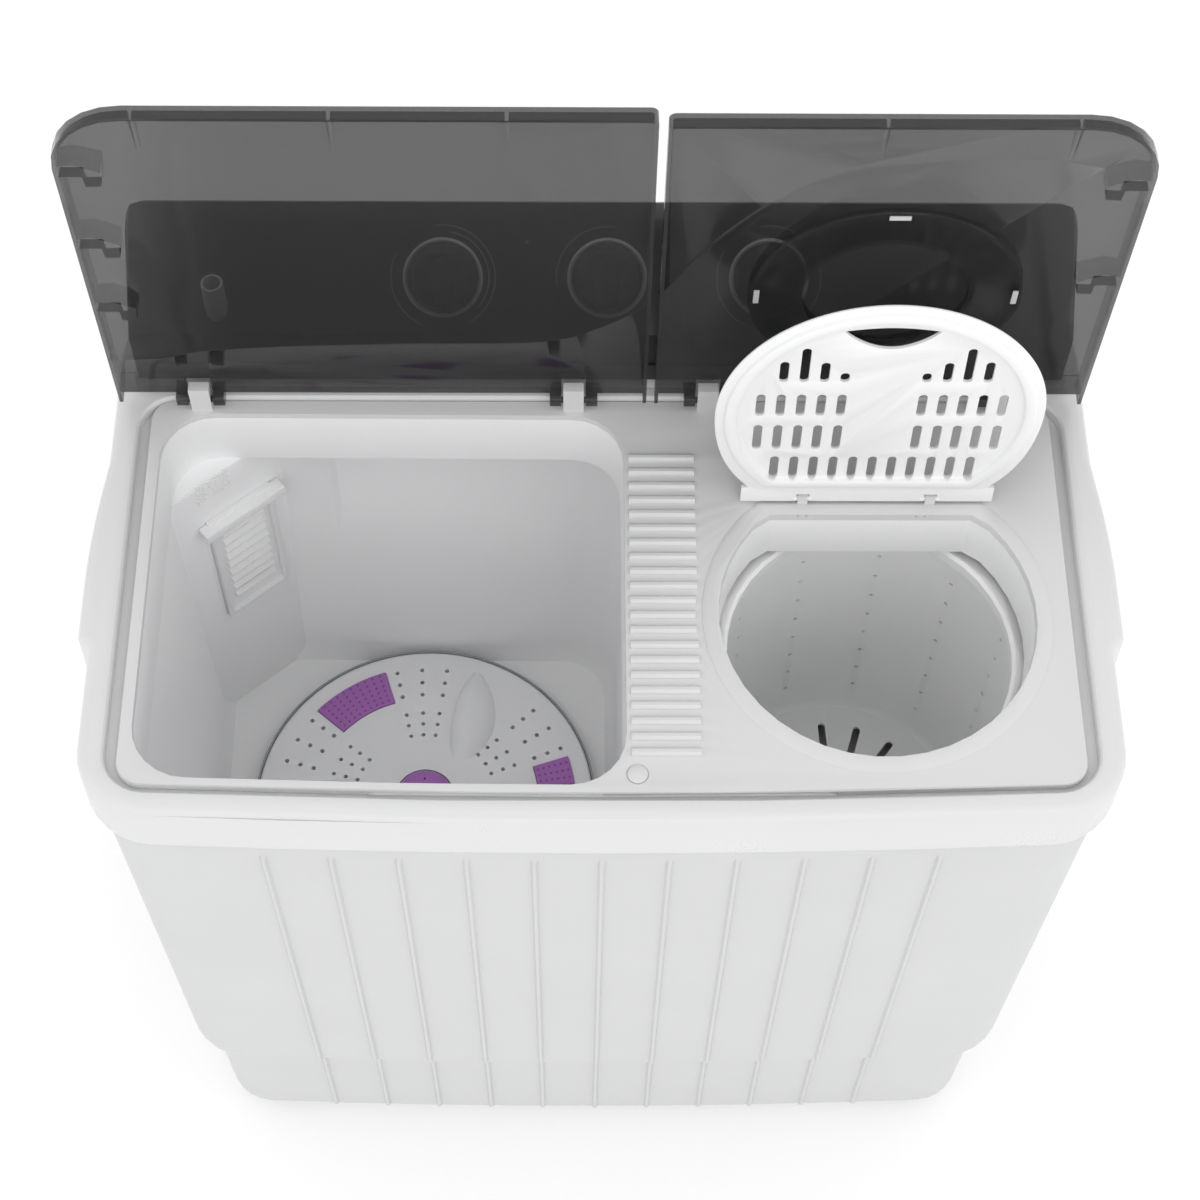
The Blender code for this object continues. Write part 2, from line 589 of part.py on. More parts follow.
SLEEVE_RADIUS = 0.012
VALVE_X = WASH_LEFT + 0.0225
VALVE_Y = 0.0899
OUTLET_RADIUS = 0.012
OUTLET_Z = 0.060
PANEL_START = Vector((WASH_LEFT + 0.0040, 0.0630, 0.0))      # front edge of the diagonal panel
PANEL_TURN = math.radians(40)
PANEL_ALONG = Vector((math.cos(PANEL_TURN), math.sin(PANEL_TURN), 0.0))
PANEL_OUT = Vector((math.sin(PANEL_TURN), -math.cos(PANEL_TURN), 0.0))
PANEL_TOP = RIM_TOP - WASH_SKIRT_DEPTH - 0.001
PANEL_FOOT = TUB_FLOOR + 0.014
FILTER_LEFT = 0.0150
FILTER_RIGHT = 0.0650
FILTER_TOP = RIM_TOP - 0.0930
FILTER_FOOT = RIM_TOP - 0.2120


def on_panel(along, out, z):
    return PANEL_START + PANEL_ALONG * along + PANEL_OUT * out + Vector((0, 0, z))


def panel_block(name, s0, s1, z0, z1, out0, out1, finish=None):
    rings = []
    for z in (z0, z1):
        rings.append([on_panel(s, o, z) for s, o in ((s0, out0), (s1, out0), (s1, out1), (s0, out1))])
    return loft(name, rings, finish)


def make_overflow_cover():
    """Diagonal panel that closes the tub's rear left corner and holds the lint filter."""
    rings = []
    for z, s0, s1 in ((PANEL_FOOT, 0.0020, 0.0635), (PANEL_TOP, -0.0020, 0.0700)):
        rings.append([on_panel(s, o, z) for s, o in ((s0, 0.0), (s1, 0.0), (s1, -WALL), (s0, -WALL))])
    panel = loft("overflow_cover", rings, "white")
    hole = panel_block("filter_hole_cutter", FILTER_LEFT - GAP, FILTER_RIGHT + GAP, FILTER_FOOT - GAP,
                       FILTER_TOP + GAP, -0.01, 0.01)
    cut(panel, hole)


def make_lint_filter():
    filter_frame = panel_block("lint_filter", FILTER_LEFT, FILTER_RIGHT, FILTER_FOOT, FILTER_TOP, -0.0026, 0.004,
                               "white")
    lip = panel_block("filter_lip_solid", FILTER_LEFT - 0.006, FILTER_RIGHT + 0.006, FILTER_TOP - 0.009,
                      FILTER_TOP - 0.001, 0.0005, 0.010)
    unite(filter_frame, lip)
    pocket = panel_block("filter_pocket_cutter", FILTER_LEFT + 0.004, FILTER_RIGHT - 0.004, FILTER_FOOT + 0.004,
                         FILTER_TOP - 0.012, 0.0005, 0.01)
    rows = [panel_block("slot", FILTER_LEFT + 0.010, FILTER_RIGHT - 0.010, z, z + 0.004, -0.02, 0.02)
            for z in [FILTER_FOOT + 0.022 + 0.010 * i for i in range(8)]]
    cut(filter_frame, pocket)
    cut(filter_frame, merge_shapes("filter_slot_cutters", rows))
    place_origin(filter_frame, on_panel((FILTER_LEFT + FILTER_RIGHT) / 2, 0.0, FILTER_TOP))


def make_overflow_pipe():
    z0, z1 = TUB_FLOOR + GAP, RIM_TOP - 0.110
    profile = [(0.0042, z0), (0.0055, z0), (0.0055, z1), (0.0042, z1)]
    turned("overflow_pipe", profile, 16, (VALVE_X, VALVE_Y, 0), "grey plastic", looped=True)


def make_drain_valve():
    top = TUB_FLOOR - TUB_WALL - GAP
    low = top - 0.045
    profile = [(0.0060, low), (0.0160, low), (0.0160, top), (0.0130, top), (0.0130, low + 0.003),
               (0.0060, low + 0.003)]
    turned("drain_valve_body", profile, 20, (VALVE_X, VALVE_Y, 0), "grey plastic", looped=True)
    seat = low + 0.003 + GAP
    plug = [(0.0085, seat), (0.0095, seat + 0.004), (0.0030, seat + 0.012), (0.0022, seat + 0.014),
            (0.0022, RIM_TOP - 0.120)]
    plunger = turned("drain_valve_plunger", plug, 12, (VALVE_X, VALVE_Y, 0), "rubber")
    place_origin(plunger, (0, 0, seat))
    plunger.location = (VALVE_X, VALVE_Y, seat)


def tube(name, path, outer, inner, count, finish):
    """Hollow tube along a smooth path."""
    frames = []
    for i, point in enumerate(path):
        ahead = path[min(i + 1, len(path) - 1)] - path[max(i - 1, 0)]
        side = Vector((1, 0, 0))
        frames.append((point, side, ahead.normalized().cross(side).normalized()))
    rings = []
    for radius, order in ((outer, frames), (inner, list(reversed(frames)))):
        for point, u, v in order:
            angles = [2 * math.pi * i / count for i in range(count)]
            rings.append([point + (u * math.cos(a) + v * math.sin(a)) * radius for a in angles])
    return loft(name, rings, finish, looped=True, smooth=True)


def make_drain_pipe():
    """From the valve down and out through the back of the base."""
    start = TUB_FLOOR - TUB_WALL - GAP - 0.045 - GAP
    bend = 0.040
    centre = Vector((VALVE_X, VALVE_Y + bend, OUTLET_Z + bend))
    path = [Vector((VALVE_X, VALVE_Y, start))]
    for i in range(7):
        a = math.pi + math.pi / 2 * i / 6
        path.append(centre + Vector((0, bend * math.cos(a), bend * math.sin(a))))
    path.append(Vector((VALVE_X, BACK - GAP, OUTLET_Z)))
    tube("drain_pipe", path, OUTLET_RADIUS, OUTLET_RADIUS - 0.0025, 14, "grey plastic")


def make_pulsator():
    x, y = PULSATOR_X, PULSATOR_Y
    low = PULSATOR_TOP - 0.006
    profile = [(0.012, low - 0.002), (PULSATOR_RADIUS - 0.006, low), (PULSATOR_RADIUS, low + 0.002),
               (PULSATOR_RADIUS, PULSATOR_TOP - 0.0015), (PULSATOR_RADIUS - 0.002, PULSATOR_TOP),
               (0.050, PULSATOR_TOP + 0.002), (CAP_RADIUS + 0.0008, PULSATOR_TOP + 0.006),
               (CAP_RADIUS + 0.0008, PULSATOR_TOP + 0.0015)]
    disc = turned("pulsator", [(r, z - low) for r, z in profile], 48, (x, y, low), "tub white")
    blades = []
    for k in range(3):
        angle = math.radians(55 + 120 * k)
        sections = []
        for s, half, height in ((0.034, 0.004, 0.001), (0.052, 0.012, 0.011), (0.072, 0.016, 0.015),
                                (0.092, 0.013, 0.011), (0.106, 0.005, 0.001)):
            bend = math.radians(16) * (s - 0.034) / 0.072
            centre = Vector((math.cos(angle + bend), math.sin(angle + bend), 0)) * s
            across = Vector((-math.sin(angle + bend), math.cos(angle + bend), 0))
            base = PULSATOR_TOP - 0.002 - low
            sections.append([centre - across * half + Vector((0, 0, base)),
                             centre + across * half + Vector((0, 0, base)),
                             centre + across * half * 0.2 + Vector((0, 0, base + 0.002 + height)),
                             centre - across * half * 0.3 + Vector((0, 0, base + 0.002 + height))])
        blade = loft("blade", sections)
        blade.location = (x, y, low)
        blades.append(blade)
    unite(disc, merge_shapes("blade_solids", blades))
    pockets = [pad_shape(f"pocket_{k}", k, PAD_FLOOR, PULSATOR_TOP + 0.01, 0.0004) for k in range(3)]
    cut(disc, merge_shapes("pad_pocket_cutters", pockets))
    cap = [(CAP_RADIUS, PULSATOR_TOP + 0.0018), (CAP_RADIUS, PULSATOR_TOP + 0.006),
           (CAP_RADIUS * 0.85, PULSATOR_TOP + 0.0105), (CAP_RADIUS * 0.5, PULSATOR_TOP + 0.0130)]
    turned("pulsator_cap", [(r, z - low) for r, z in cap], 28, (x, y, low), "purple")
    for k in range(3):
        pad = pad_shape(f"pulsator_pad_{k + 1}", k, PAD_FLOOR + GAP, PULSATOR_TOP + 0.0022, 0.0, "purple")
        place_origin(pad, (x, y, low))
    shaft = [(SHAFT_RADIUS, SHAFT_FOOT), (SHAFT_RADIUS, low - 0.002 - GAP)]
    turned("pulsator_shaft", [(r, z - low) for r, z in shaft], 14, (x, y, low), "steel")


CAP_RADIUS = 0.0200
PAD_FLOOR = PULSATOR_TOP - 0.0030
SHAFT_FOOT = 0.2300


def pad_shape(name, k, z0, z1, grow, finish=None):
    """Sector shaped pad near the rim of the pulsator."""
    middle = math.radians(123 + 120 * k)
    half = math.radians(15.5)
    r0, r1 = 0.080 - grow, 0.1060 + grow
    outline = []
    for radius, step in ((r0, 1), (r1, -1)):
        reach = half + grow / radius
        for i in range(5):
            a = middle + step * (-reach + 2 * reach * i / 4)
            outline.append((PULSATOR_X + radius * math.cos(a), PULSATOR_Y + radius * math.sin(a)))
    return loft(name, [[Vector((x, y, z)) for x, y in outline] for z in (z0, z1)], finish)


def make_wash_drive():
    x, y = PULSATOR_X, PULSATOR_Y
    top = TUB_FLOOR - TUB_WALL - GAP
    bore = SHAFT_RADIUS + GAP
    gearbox = [(bore, 0.205), (0.030, 0.205), (0.040, 0.212), (0.040, 0.240), (0.028, 0.250), (0.028, top),
               (SLEEVE_RADIUS, top), (SLEEVE_RADIUS, TUB_FLOOR + 0.0025), (bore, TUB_FLOOR + 0.0025)]
    turned("gearbox", gearbox, 24, (x, y, 0), "aluminium", looped=True)
    spindle = 0.0055
    pulley = [(spindle, -0.014)] + pulley_profile(PULLEY_RADIUS, spindle)
    pulley.append((spindle, 0.205 - GAP - BELT_Z))
    turned("gearbox_pulley", pulley, 32, (x, y, BELT_Z), "grey plastic")
    mx, my = MOTOR_X, MOTOR_Y
    foot = BASE_FLOOR + GAP
    body = [(0.054, foot), (0.054, foot + 0.004), (0.016, foot + 0.004), (0.016, 0.060), (0.046, 0.064),
            (0.050, 0.070), (0.050, 0.150), (0.046, 0.158), (0.012, 0.160), (0.012, 0.166), (0.0050, 0.166),
            (0.0050, BELT_Z + 0.014)]
    turned("wash_motor", body, 24, (mx, my, 0), "steel")
    small = pulley_profile(MOTOR_PULLEY_RADIUS, 0.0054)
    turned("motor_pulley", small, 20, (mx, my, BELT_Z), "aluminium", looped=True)
    make_belt()


MOTOR_X = -0.0050
MOTOR_Y = 0.0480
BELT_Z = 0.1850
PULLEY_RADIUS = 0.0580
MOTOR_PULLEY_RADIUS = 0.0150


def pulley_profile(groove, bore):
    """Grooved wheel with its middle at height zero."""
    lip = groove + 0.0055
    return [(bore, -0.009), (lip, -0.009), (lip, -0.0065), (groove, -0.0050), (groove, 0.0050),
            (lip, 0.0065), (lip, 0.009), (bore, 0.009)]


def make_belt():
    start = Vector((PULSATOR_X, PULSATOR_Y, 0))
    end = Vector((MOTOR_X, MOTOR_Y, 0))
    line = end - start
    bearing = math.atan2(line.y, line.x)
    spread = math.acos((PULLEY_RADIUS - MOTOR_PULLEY_RADIUS) / line.length)
    rings = []
    for grow, z in ((0.0004, -0.0042), (0.0040, -0.0042), (0.0040, 0.0042), (0.0004, 0.0042)):
        ring = []
        for centre, radius, first, last, steps in (
                (start, PULLEY_RADIUS, spread, 2 * math.pi - spread, 18),
                (end, MOTOR_PULLEY_RADIUS, -spread, spread, 8)):
            for i in range(steps + 1):
                a = bearing + first + (last - first) * i / steps
                swing = (radius + grow) / math.cos((last - first) / steps / 2)
                ring.append(centre + Vector((math.cos(a), math.sin(a), 0)) * swing + Vector((0, 0, BELT_Z + z)))
        rings.append(ring)
    loft("drive_belt", rings, "rubber", looped=True)


def make_spin_side():
    x, y = SPIN_X, SPIN_Y
    inner, floor = SPIN_TUB_RADIUS, SPIN_TUB_FLOOR
    outer = inner + WALL
    top = DECK_UNDER - GAP
    hole = 0.0130
    tub = [(hole, floor - WALL), (outer - 0.010, floor - WALL), (outer, floor + 0.006), (outer, top),
           (inner, top), (inner, floor + 0.008), (inner - 0.010, floor), (hole, floor)]
    turned("spin_outer_tub", tub, 40, (x, y, 0), "grey plastic", looped=True)
    r = BASKET_RADIUS
    basket = [(r - 0.010, BASKET_FLOOR - 0.0025), (r - 0.004, BASKET_FLOOR + 0.004), (r, BASKET_TOP - 0.0103),
              (r - 0.002, BASKET_TOP - 0.0103), (r - 0.006, BASKET_FLOOR + 0.004), (r - 0.011, BASKET_FLOOR)]
    spin = turned("spin_basket", [(a, z - BASKET_FLOOR) for a, z in basket], 40, (x, y, BASKET_FLOOR), "tub white")
    slots = []
    for k in range(18):
        slot = block("slot", (0.0460, -0.0026, -0.01), (0.0745, 0.0026, 0.01))
        slot.rotation_euler = (0, 0, math.radians(20 * k + 13.3))
        slot.location = (x, y, BASKET_FLOOR)
        slot.data.transform(Matrix.LocRotScale(slot.location, slot.rotation_euler, None))
        slot.location = (0, 0, 0)
        slot.rotation_euler = (0, 0, 0)
        slots.append(slot)
    cut(spin, merge_shapes("basket_slot_cutters", slots))
    ring = [(r - 0.011, BASKET_TOP - 0.010), (r, BASKET_TOP - 0.010), (r, BASKET_TOP - 0.002),
            (r - 0.003, BASKET_TOP), (r - 0.009, BASKET_TOP), (r - 0.011, BASKET_TOP - 0.002)]
    turned("balance_ring", [(a, z - BASKET_FLOOR) for a, z in ring], 40, (x, y, BASKET_FLOOR), "white",
           looped=True)
    shaft = [(0.0060, SPIN_SHAFT_FOOT), (0.0060, BASKET_FLOOR - 0.0025 - GAP)]
    turned("spin_shaft", [(a, z - BASKET_FLOOR) for a, z in shaft], 14, (x, y, BASKET_FLOOR), "steel")
    drum = [(0.0060 + GAP, -0.012), (0.0120, -0.012), (0.0120, 0.004), (BRAKE_RADIUS - 0.004, 0.004),
            (BRAKE_RADIUS - 0.004, -0.012), (BRAKE_RADIUS, -0.012), (BRAKE_RADIUS, 0.010), (0.0060 + GAP, 0.010)]
    turned("brake_drum", drum, 28, (x, y, BRAKE_Z), "aluminium", looped=True)
    seal = [(0.0072, floor - 0.016), (0.0110, floor - 0.018), (0.0240, floor - WALL - GAP),
            (0.0180, floor - WALL - GAP), (0.0100, floor - 0.0115), (0.0072, floor - 0.010)]
    turned("spin_seal", seal, 20, (x, y, 0), "rubber", looped=True)
    motor = [(0.030, 0.082), (0.062, 0.082), (0.062, 0.087), (0.056, 0.088), (0.056, 0.170), (0.050, 0.180),
             (0.014, 0.182), (0.014, 0.190), (0.0055, 0.190), (0.0055, SPIN_SHAFT_FOOT - GAP)]
    body = turned("spin_motor", motor, 28, (x, y, 0), "steel")
    px, py = BRAKE_PIVOT
    post = loft("brake_post_solid", [circle(0.0030, 0.165, 12, px - x, py - y),
                                     circle(0.0030, BRAKE_Z + 0.006, 12, px - x, py - y)])
    arm = block("brake_arm_solid", (0.040, -0.010, 0.160), (px - x + 0.006, 0.010, 0.168))
    post.location = arm.location = (x, y, 0)
    unite(body, merge_shapes("brake_mount_solids", [post, arm]))


SPIN_SHAFT_FOOT = 0.1980
BRAKE_RADIUS = 0.0340
BRAKE_Z = 0.2200
BRAKE_PIVOT = (SPIN_X + 0.0620, SPIN_Y)


def make_brake_lever():
    """Shoe that rests on the drum while the spin lid is open."""
    px, py = BRAKE_PIVOT
    arm = [(-0.006, -0.003), (0.000, -0.007), (0.006, 0.000), (-0.022, 0.036), (-0.034, 0.040),
           (-0.0412, 0.0276), (-0.0350, 0.0216), (-0.030, 0.0225)]
    rings = [[Vector((px + x, py + y, BRAKE_Z + z)) for x, y in arm] for z in (-0.004, 0.004)]
    lever = loft("brake_lever", rings, "steel")
    bore = turned("lever_bore_cutter", [(0.0030 + GAP, -0.02), (0.0030 + GAP, 0.02)], 12, (px, py, BRAKE_Z))
    cut(lever, bore)
    place_origin(lever, (px, py, BRAKE_Z))


def make_motor_springs():
    wire, radius, turns, steps = 0.0016, 0.0100, 4, 11
    low, high = BASE_FLOOR + GAP + wire, 0.082 - GAP - wire
    for k in range(3):
        a0 = math.radians(90 + 120 * k)
        centre = Vector((SPIN_X + 0.046 * math.cos(a0), SPIN_Y + 0.046 * math.sin(a0), 0))
        rings = []
        for i in range(turns * steps + 1):
            a = 2 * math.pi * i / steps
            out = Vector((math.cos(a), math.sin(a), 0))
            z = low + (high - low) * i / (turns * steps)
            middle = centre + out * radius + Vector((0, 0, z))
            rings.append([middle + (out * math.cos(b) + Vector((0, 0, math.sin(b)))) * wire
                          for b in [2 * math.pi * j / 5 for j in range(5)]])
        loft(f"motor_spring_{k + 1}", rings, "steel", smooth=True)


def make_capacitor():
    low = BASE_FLOOR + GAP
    profile = [(0.018, low), (0.020, low + 0.002), (0.020, low + 0.058), (0.017, low + 0.062)]
    turned("capacitor", profile, 20, (0.075, 0.105, 0), "grey plastic")


def make_housing():
    bottom = HOUSING_BASE_TOP + GAP
    y0, y1 = HOUSING_Y, BACK
    z1 = RIM_TOP + FACE_FOOT
    z2 = z1 + FACE_RUN

    def profile(x, shrink):
        s = shrink
        points = [(y0, bottom), (y0, z1 - s * 0.4), (y0 + FACE_RUN, z2 - s), (y0 + FACE_RUN + 0.004, z2 + 0.0012 - s),
                  (y1 - 0.006, z2 + 0.0012 - s), (y1, z2 - 0.005 - s), (y1, bottom)]
        return [Vector((x, y, z)) for y, z in points]

    sections = [(-HOUSING_HALF, 0.010), (-HOUSING_HALF + 0.003, 0.003), (-HOUSING_HALF + 0.010, 0.0),
                (HOUSING_HALF - 0.010, 0.0), (HOUSING_HALF - 0.003, 0.003), (HOUSING_HALF, 0.010)]
    housing = loft("control_housing", [profile(x, s) for x, s in sections], "black")
    core = []
    for x in (-HOUSING_HALF + WALL, HOUSING_HALF - WALL):
        drop = WALL + 0.008
        points = [(y0 + WALL, bottom - 0.01), (y0 + WALL, z1 - drop * 0.4), (y0 + FACE_RUN - 0.003, z2 - drop - 0.0035),
                  (y1 - WALL, z2 - drop - 0.0035), (y1 - WALL, bottom - 0.01)]
        core.append([Vector((x, y, z)) for y, z in points])
    cut(housing, loft("housing_core_cutter", core))
    holes = [turned("hole", [(KNOB_SPINDLE + 0.0015, -0.03), (KNOB_SPINDLE + 0.0015, 0.03)], 14,
                    Vector((x, 0, 0)) + FACE_MIDDLE, axis=FACE_NORMAL) for x in KNOB_XS.values()]
    holes.append(turned("hole", [(INLET_RADIUS + 0.0005, -0.08), (INLET_RADIUS + 0.0005, 0.08)], 16, INLET_AT))
    cut(housing, merge_shapes("housing_hole_cutters", holes))


INLET_RADIUS = 0.0068
INLET_AT = (-0.2308, DECK_REAR + 0.0210, RIM_TOP + 0.0700)


def make_housing_base():
    """White ledge that carries the control housing."""
    rings = []
    for inset, z in ((0.003, HOUSING_BASE_TOP), (0.003, RIM_TOP + GAP), (0.0055, RIM_TOP + GAP),
                     (0.0055, HOUSING_BASE_TOP - 0.0025)):
        x = HOUSING_HALF + 0.006 - inset
        corners = ((-x, HOUSING_Y - 0.003 + inset), (x, HOUSING_Y - 0.003 + inset),
                   (x, BACK + 0.0025 - inset), (-x, BACK + 0.0025 - inset))
        rings.append([Vector((px, py, z)) for px, py in corners])
    ledge = loft("housing_base", rings, "white")
    low = (-0.24, HOUSING_Y + 0.012, RIM_TOP - 0.01)
    high = (0.24, BACK - 0.020, RIM_TOP + 0.03)
    cut(ledge, block("ledge_slot_cutter", low, high))


def face_slab(name, half_x, half_y, z0, z1, finish=None, x=0.0):
    """Slab that lies along the sloping face; heights are measured outwards from the face."""
    corners = ((-half_x, -half_y), (half_x, -half_y), (half_x, half_y), (-half_x, half_y))
    obj = loft(name, [[Vector((px, py, z)) for px, py in corners] for z in (z0, z1)], finish)
    obj.location = Vector((x, 0, 0)) + FACE_MIDDLE
    obj.rotation_euler = (FACE_TURN, 0, 0)
    return obj


def make_knobs():
    bodies = {"wash_timer_knob": "wash_timer", "drain_selector_knob": "drain_selector",
              "spin_timer_knob": "spin_timer"}
    for name, x in KNOB_XS.items():
        at = Vector((x, 0, 0)) + FACE_MIDDLE
        low = GAP + 0.0005
        rings = [circle(KNOB_SPINDLE, -0.010, 24), circle(KNOB_SPINDLE, low, 24), circle(KNOB_RADIUS, low, 24),
                 circle(KNOB_RADIUS - 0.0004, low + 0.0030, 24), octagon(KNOB_RADIUS - 0.0012, low + 0.0035),
                 octagon(KNOB_RADIUS - 0.0035, KNOB_HEIGHT)]
        knob = loft(name, rings, "black")
        knob.location = at
        knob.rotation_euler = (FACE_TURN, 0, 0)
        body = face_slab(bodies[name], 0.022, 0.0185, -0.030, -0.0125, "grey plastic", x)
        body.name = bodies[name]


def octagon(radius, z):
    """Eight sided ring with 24 points, three on each side."""
    points = []
    for i in range(24):
        side, share = divmod(i, 3)
        a0 = math.pi / 8 + math.pi / 4 * side
        a1 = a0 + math.pi / 4
        first = Vector((math.cos(a0), math.sin(a0), 0))
        last = Vector((math.cos(a1), math.sin(a1), 0))
        points.append((first + (last - first) * share / 3) * radius + Vector((0, 0, z)))
    return points[-1:] + points[:-1]


def make_water_inlet():
    profile = [(INLET_RADIUS - 0.0016, -0.030), (INLET_RADIUS, -0.030), (INLET_RADIUS, 0.0190),
               (INLET_RADIUS - 0.0004, 0.0197), (INLET_RADIUS - 0.0016, 0.0197)]
    turned("water_inlet", profile, 20, INLET_AT, "white", looped=True)


def lid_outline(x0, x1, radii, inset, w, back=-0.0035):
    """Lid seen from above when closed: hinge line at zero, reach towards the front."""
    left, right = (max(r - inset, 0.002) for r in radii)
    x0, x1, front = x0 + inset, x1 - inset, inset - LID_LENGTH
    points = []
    for cx, cy, radius, start in ((x0 + left, front + left, left, math.pi),
                                  (x1 - right, front + right, right, -math.pi / 2)):
        angles = [start + math.pi / 2 * i / 6 for i in range(7)]
        points += [(cx + radius * math.cos(a), cy + radius * math.sin(a)) for a in angles]
    points += [(x1, back), (x0, back)]
    return [Vector((x, y, w)) for x, y in points]


def make_lid(name, x0, x1, radii, lean, posts):
    """Shallow tray, open on the hinge side, with a knuckle and pin beside each post."""
    inner, outer = 0.0025, 0.0050
    flange = outer - LID_FLANGE
    thick = 0.0022

    edge = ((0.0012, outer), (0.0, outer - 0.0012), (0.0, flange))
    lid = loft(name, [lid_outline(x0, x1, radii, inset, w) for inset, w in edge], "smoke")
    hollow = [lid_outline(x0, x1, radii, thick, w, 0.01) for w in (flange - 0.01, inner)]
    cut(lid, loft(name + "_hollow_cutter", hollow))
    notches = []
    knuckles = []
    pins = []
    for x in posts:
        half = POST_WIDTH / 2 + 0.0012
        notches.append(block("notch", (x - half, -0.0190, -0.02), (x + half, 0.02, 0.02)))
    cut(lid, merge_shapes(name + "_notch_cutters", notches))
    hook = ((-0.0062, outer - 0.0006), (-0.0062, -0.0035), (0.0020, -0.0035), (0.0038, 0.0), (0.0020, outer - 0.0006))
    for x in posts:
        half = POST_WIDTH / 2 + 0.0014
        for a, b in ((x - half - 0.007, x - half), (x + half, x + half + 0.007)):
            knuckles.append(loft("knuckle", [[Vector((px, py, pz)) for py, pz in hook] for px in (a, b)]))
        pins.append(turned("pin", [(PIN_RADIUS, -half - 0.003), (PIN_RADIUS, half + 0.003)], 12, (x, 0, 0),
                           axis=(1, 0, 0)))
    unite(lid, merge_shapes(name + "_knuckle_solids", knuckles))
    unite(lid, merge_shapes(name + "_pin_solids", pins))
    lid.location = (0, HINGE_Y, HINGE_Z)
    lid.rotation_euler = (-math.radians(90 + lean), 0, 0)
    helpers = [m.object for m in lid.modifiers]
    for helper in helpers:
        helper.parent = lid
    return lid


def make_lids():
    wash = make_lid("wash_lid", -HALF + LID_SIDE_INSET, LID_GAP_X - LID_GAP / 2, (LID_RADIUS, 0.004),
                    WASH_LID_LEAN, POST_XS[:2])
    spin = make_lid("spin_lid", LID_GAP_X + LID_GAP / 2, HALF - LID_SIDE_INSET, (0.004, LID_RADIUS),
                    SPIN_LID_LEAN, POST_XS[2:])
    dish = [(DISH_WELL - 0.004, 0.0014), (DISH_WELL, 0.0014), (DISH_WELL + 0.003, 0.0020), (DISH_RADIUS - 0.004, 0.0020),
            (DISH_RADIUS - 0.002, 0.0), (DISH_RADIUS, 0.0), (DISH_RADIUS, 0.0034), (DISH_WELL - 0.004, 0.0034)]
    ring = turned("spin_lid_dish", [(r, z - 0.0034) for r, z in dish], 40, (DISH_X, -DISH_REACH, 0.0025 - GAP),
                  "smoke", looped=True)
    ring.parent = spin
    for k, degrees in enumerate((90, 180, 270, 0)):
        a = math.radians(degrees)
        clip = block(f"dish_clip_{k + 1}", (-0.0016, -0.0060, -0.0044), (0.0016, 0.0060, -0.0037), "white")
        clip.location = (DISH_X + (DISH_RADIUS - 0.0045) * math.cos(a),
                         -DISH_REACH + (DISH_RADIUS - 0.0045) * math.sin(a), 0.0025 - GAP + 0.0003)
        clip.rotation_euler = (0, 0, a)
        clip.parent = spin
    return wash, spin


DISH_X = 0.1625
DISH_REACH = 0.1120
DISH_RADIUS = 0.0790
DISH_WELL = 0.0520


def cover_outline(grow, w, count=40):
    """Round cover whose rear is squared off towards its hinge bar."""
    points = []
    radius = COVER_RADIUS + grow
    for i in range(count):
        a = 2 * math.pi * (i + 0.5) / count
        x, y = radius * math.cos(a), radius * math.sin(a)
        if y > 0:
            square = 1.0 + 0.16 * (y / radius) ** 2
            x = math.copysign(min(abs(x) * square, radius), x)
        y = min(y, COVER_HINGE - 0.0055 + grow)
        points.append(Vector((x, y - COVER_HINGE, w)))
    return points


def lip_outline(radius, w, count=40):
    """Lip under the cover, which drops inside the spin mouth."""
    points = []
    for i in range(count):
        a = 2 * math.pi * (i + 0.5) / count
        y = min(radius * math.sin(a), MOUTH_CHORD - 0.0025 - (LIP_RADIUS - radius))
        points.append(Vector((radius * math.cos(a), y - COVER_HINGE, w)))
    return points


LIP_RADIUS = MOUTH_RADIUS - (SPIN_X - COVER_X) - 0.0008


def make_safety_cover():
    plate_low = -0.0010
    plate_high = plate_low + COVER_THICK
    lip = LIP_RADIUS
    rings = [lip_outline(lip - 0.0080, plate_low), lip_outline(lip - 0.0070, plate_low - 0.0030),
             lip_outline(lip - 0.0005, plate_low - 0.0030), lip_outline(lip, plate_low),
             cover_outline(-0.0010, plate_low), cover_outline(0.0, plate_low + 0.0010),
             cover_outline(-0.0012, plate_high)]
    cover = loft("safety_cover", rings, "white")
    cut(cover, loft("handle_cutter", [handle_outline(z) for z in (-0.02, 0.02)]))
    cut(cover, merge_shapes("cover_slot_cutters", list(cover_slots())))
    bar = loft("hinge_bar_solid", [[Vector((x, y, z)) for y, z in ((-0.0105, plate_low), (0.0018, plate_low - 0.0005),
                                                                    (0.0018, plate_high), (-0.0105, plate_high))]
                                   for x in (-0.0760, 0.0760)])
    unite(cover, bar)
    lug_room = [block("room", (x - COVER_X - 0.0040, -0.0045, -0.02), (x - COVER_X + 0.0040, 0.02, 0.02))
                for x in COVER_LUG_XS]
    cut(cover, merge_shapes("lug_room_cutters", lug_room))
    pins = [turned("pin", [(PIN_RADIUS, -0.0060), (PIN_RADIUS, 0.0060)], 12, (x - COVER_X, 0, 0), axis=(1, 0, 0))
            for x in COVER_LUG_XS]
    unite(cover, merge_shapes("cover_pin_solids", pins))
    cover.location = (COVER_X, COVER_HINGE_Y, COVER_HINGE_Z)
    cover.rotation_euler = (-math.radians(90 + COVER_LEAN), 0, 0)
    for modifier in cover.modifiers:
        modifier.object.parent = cover


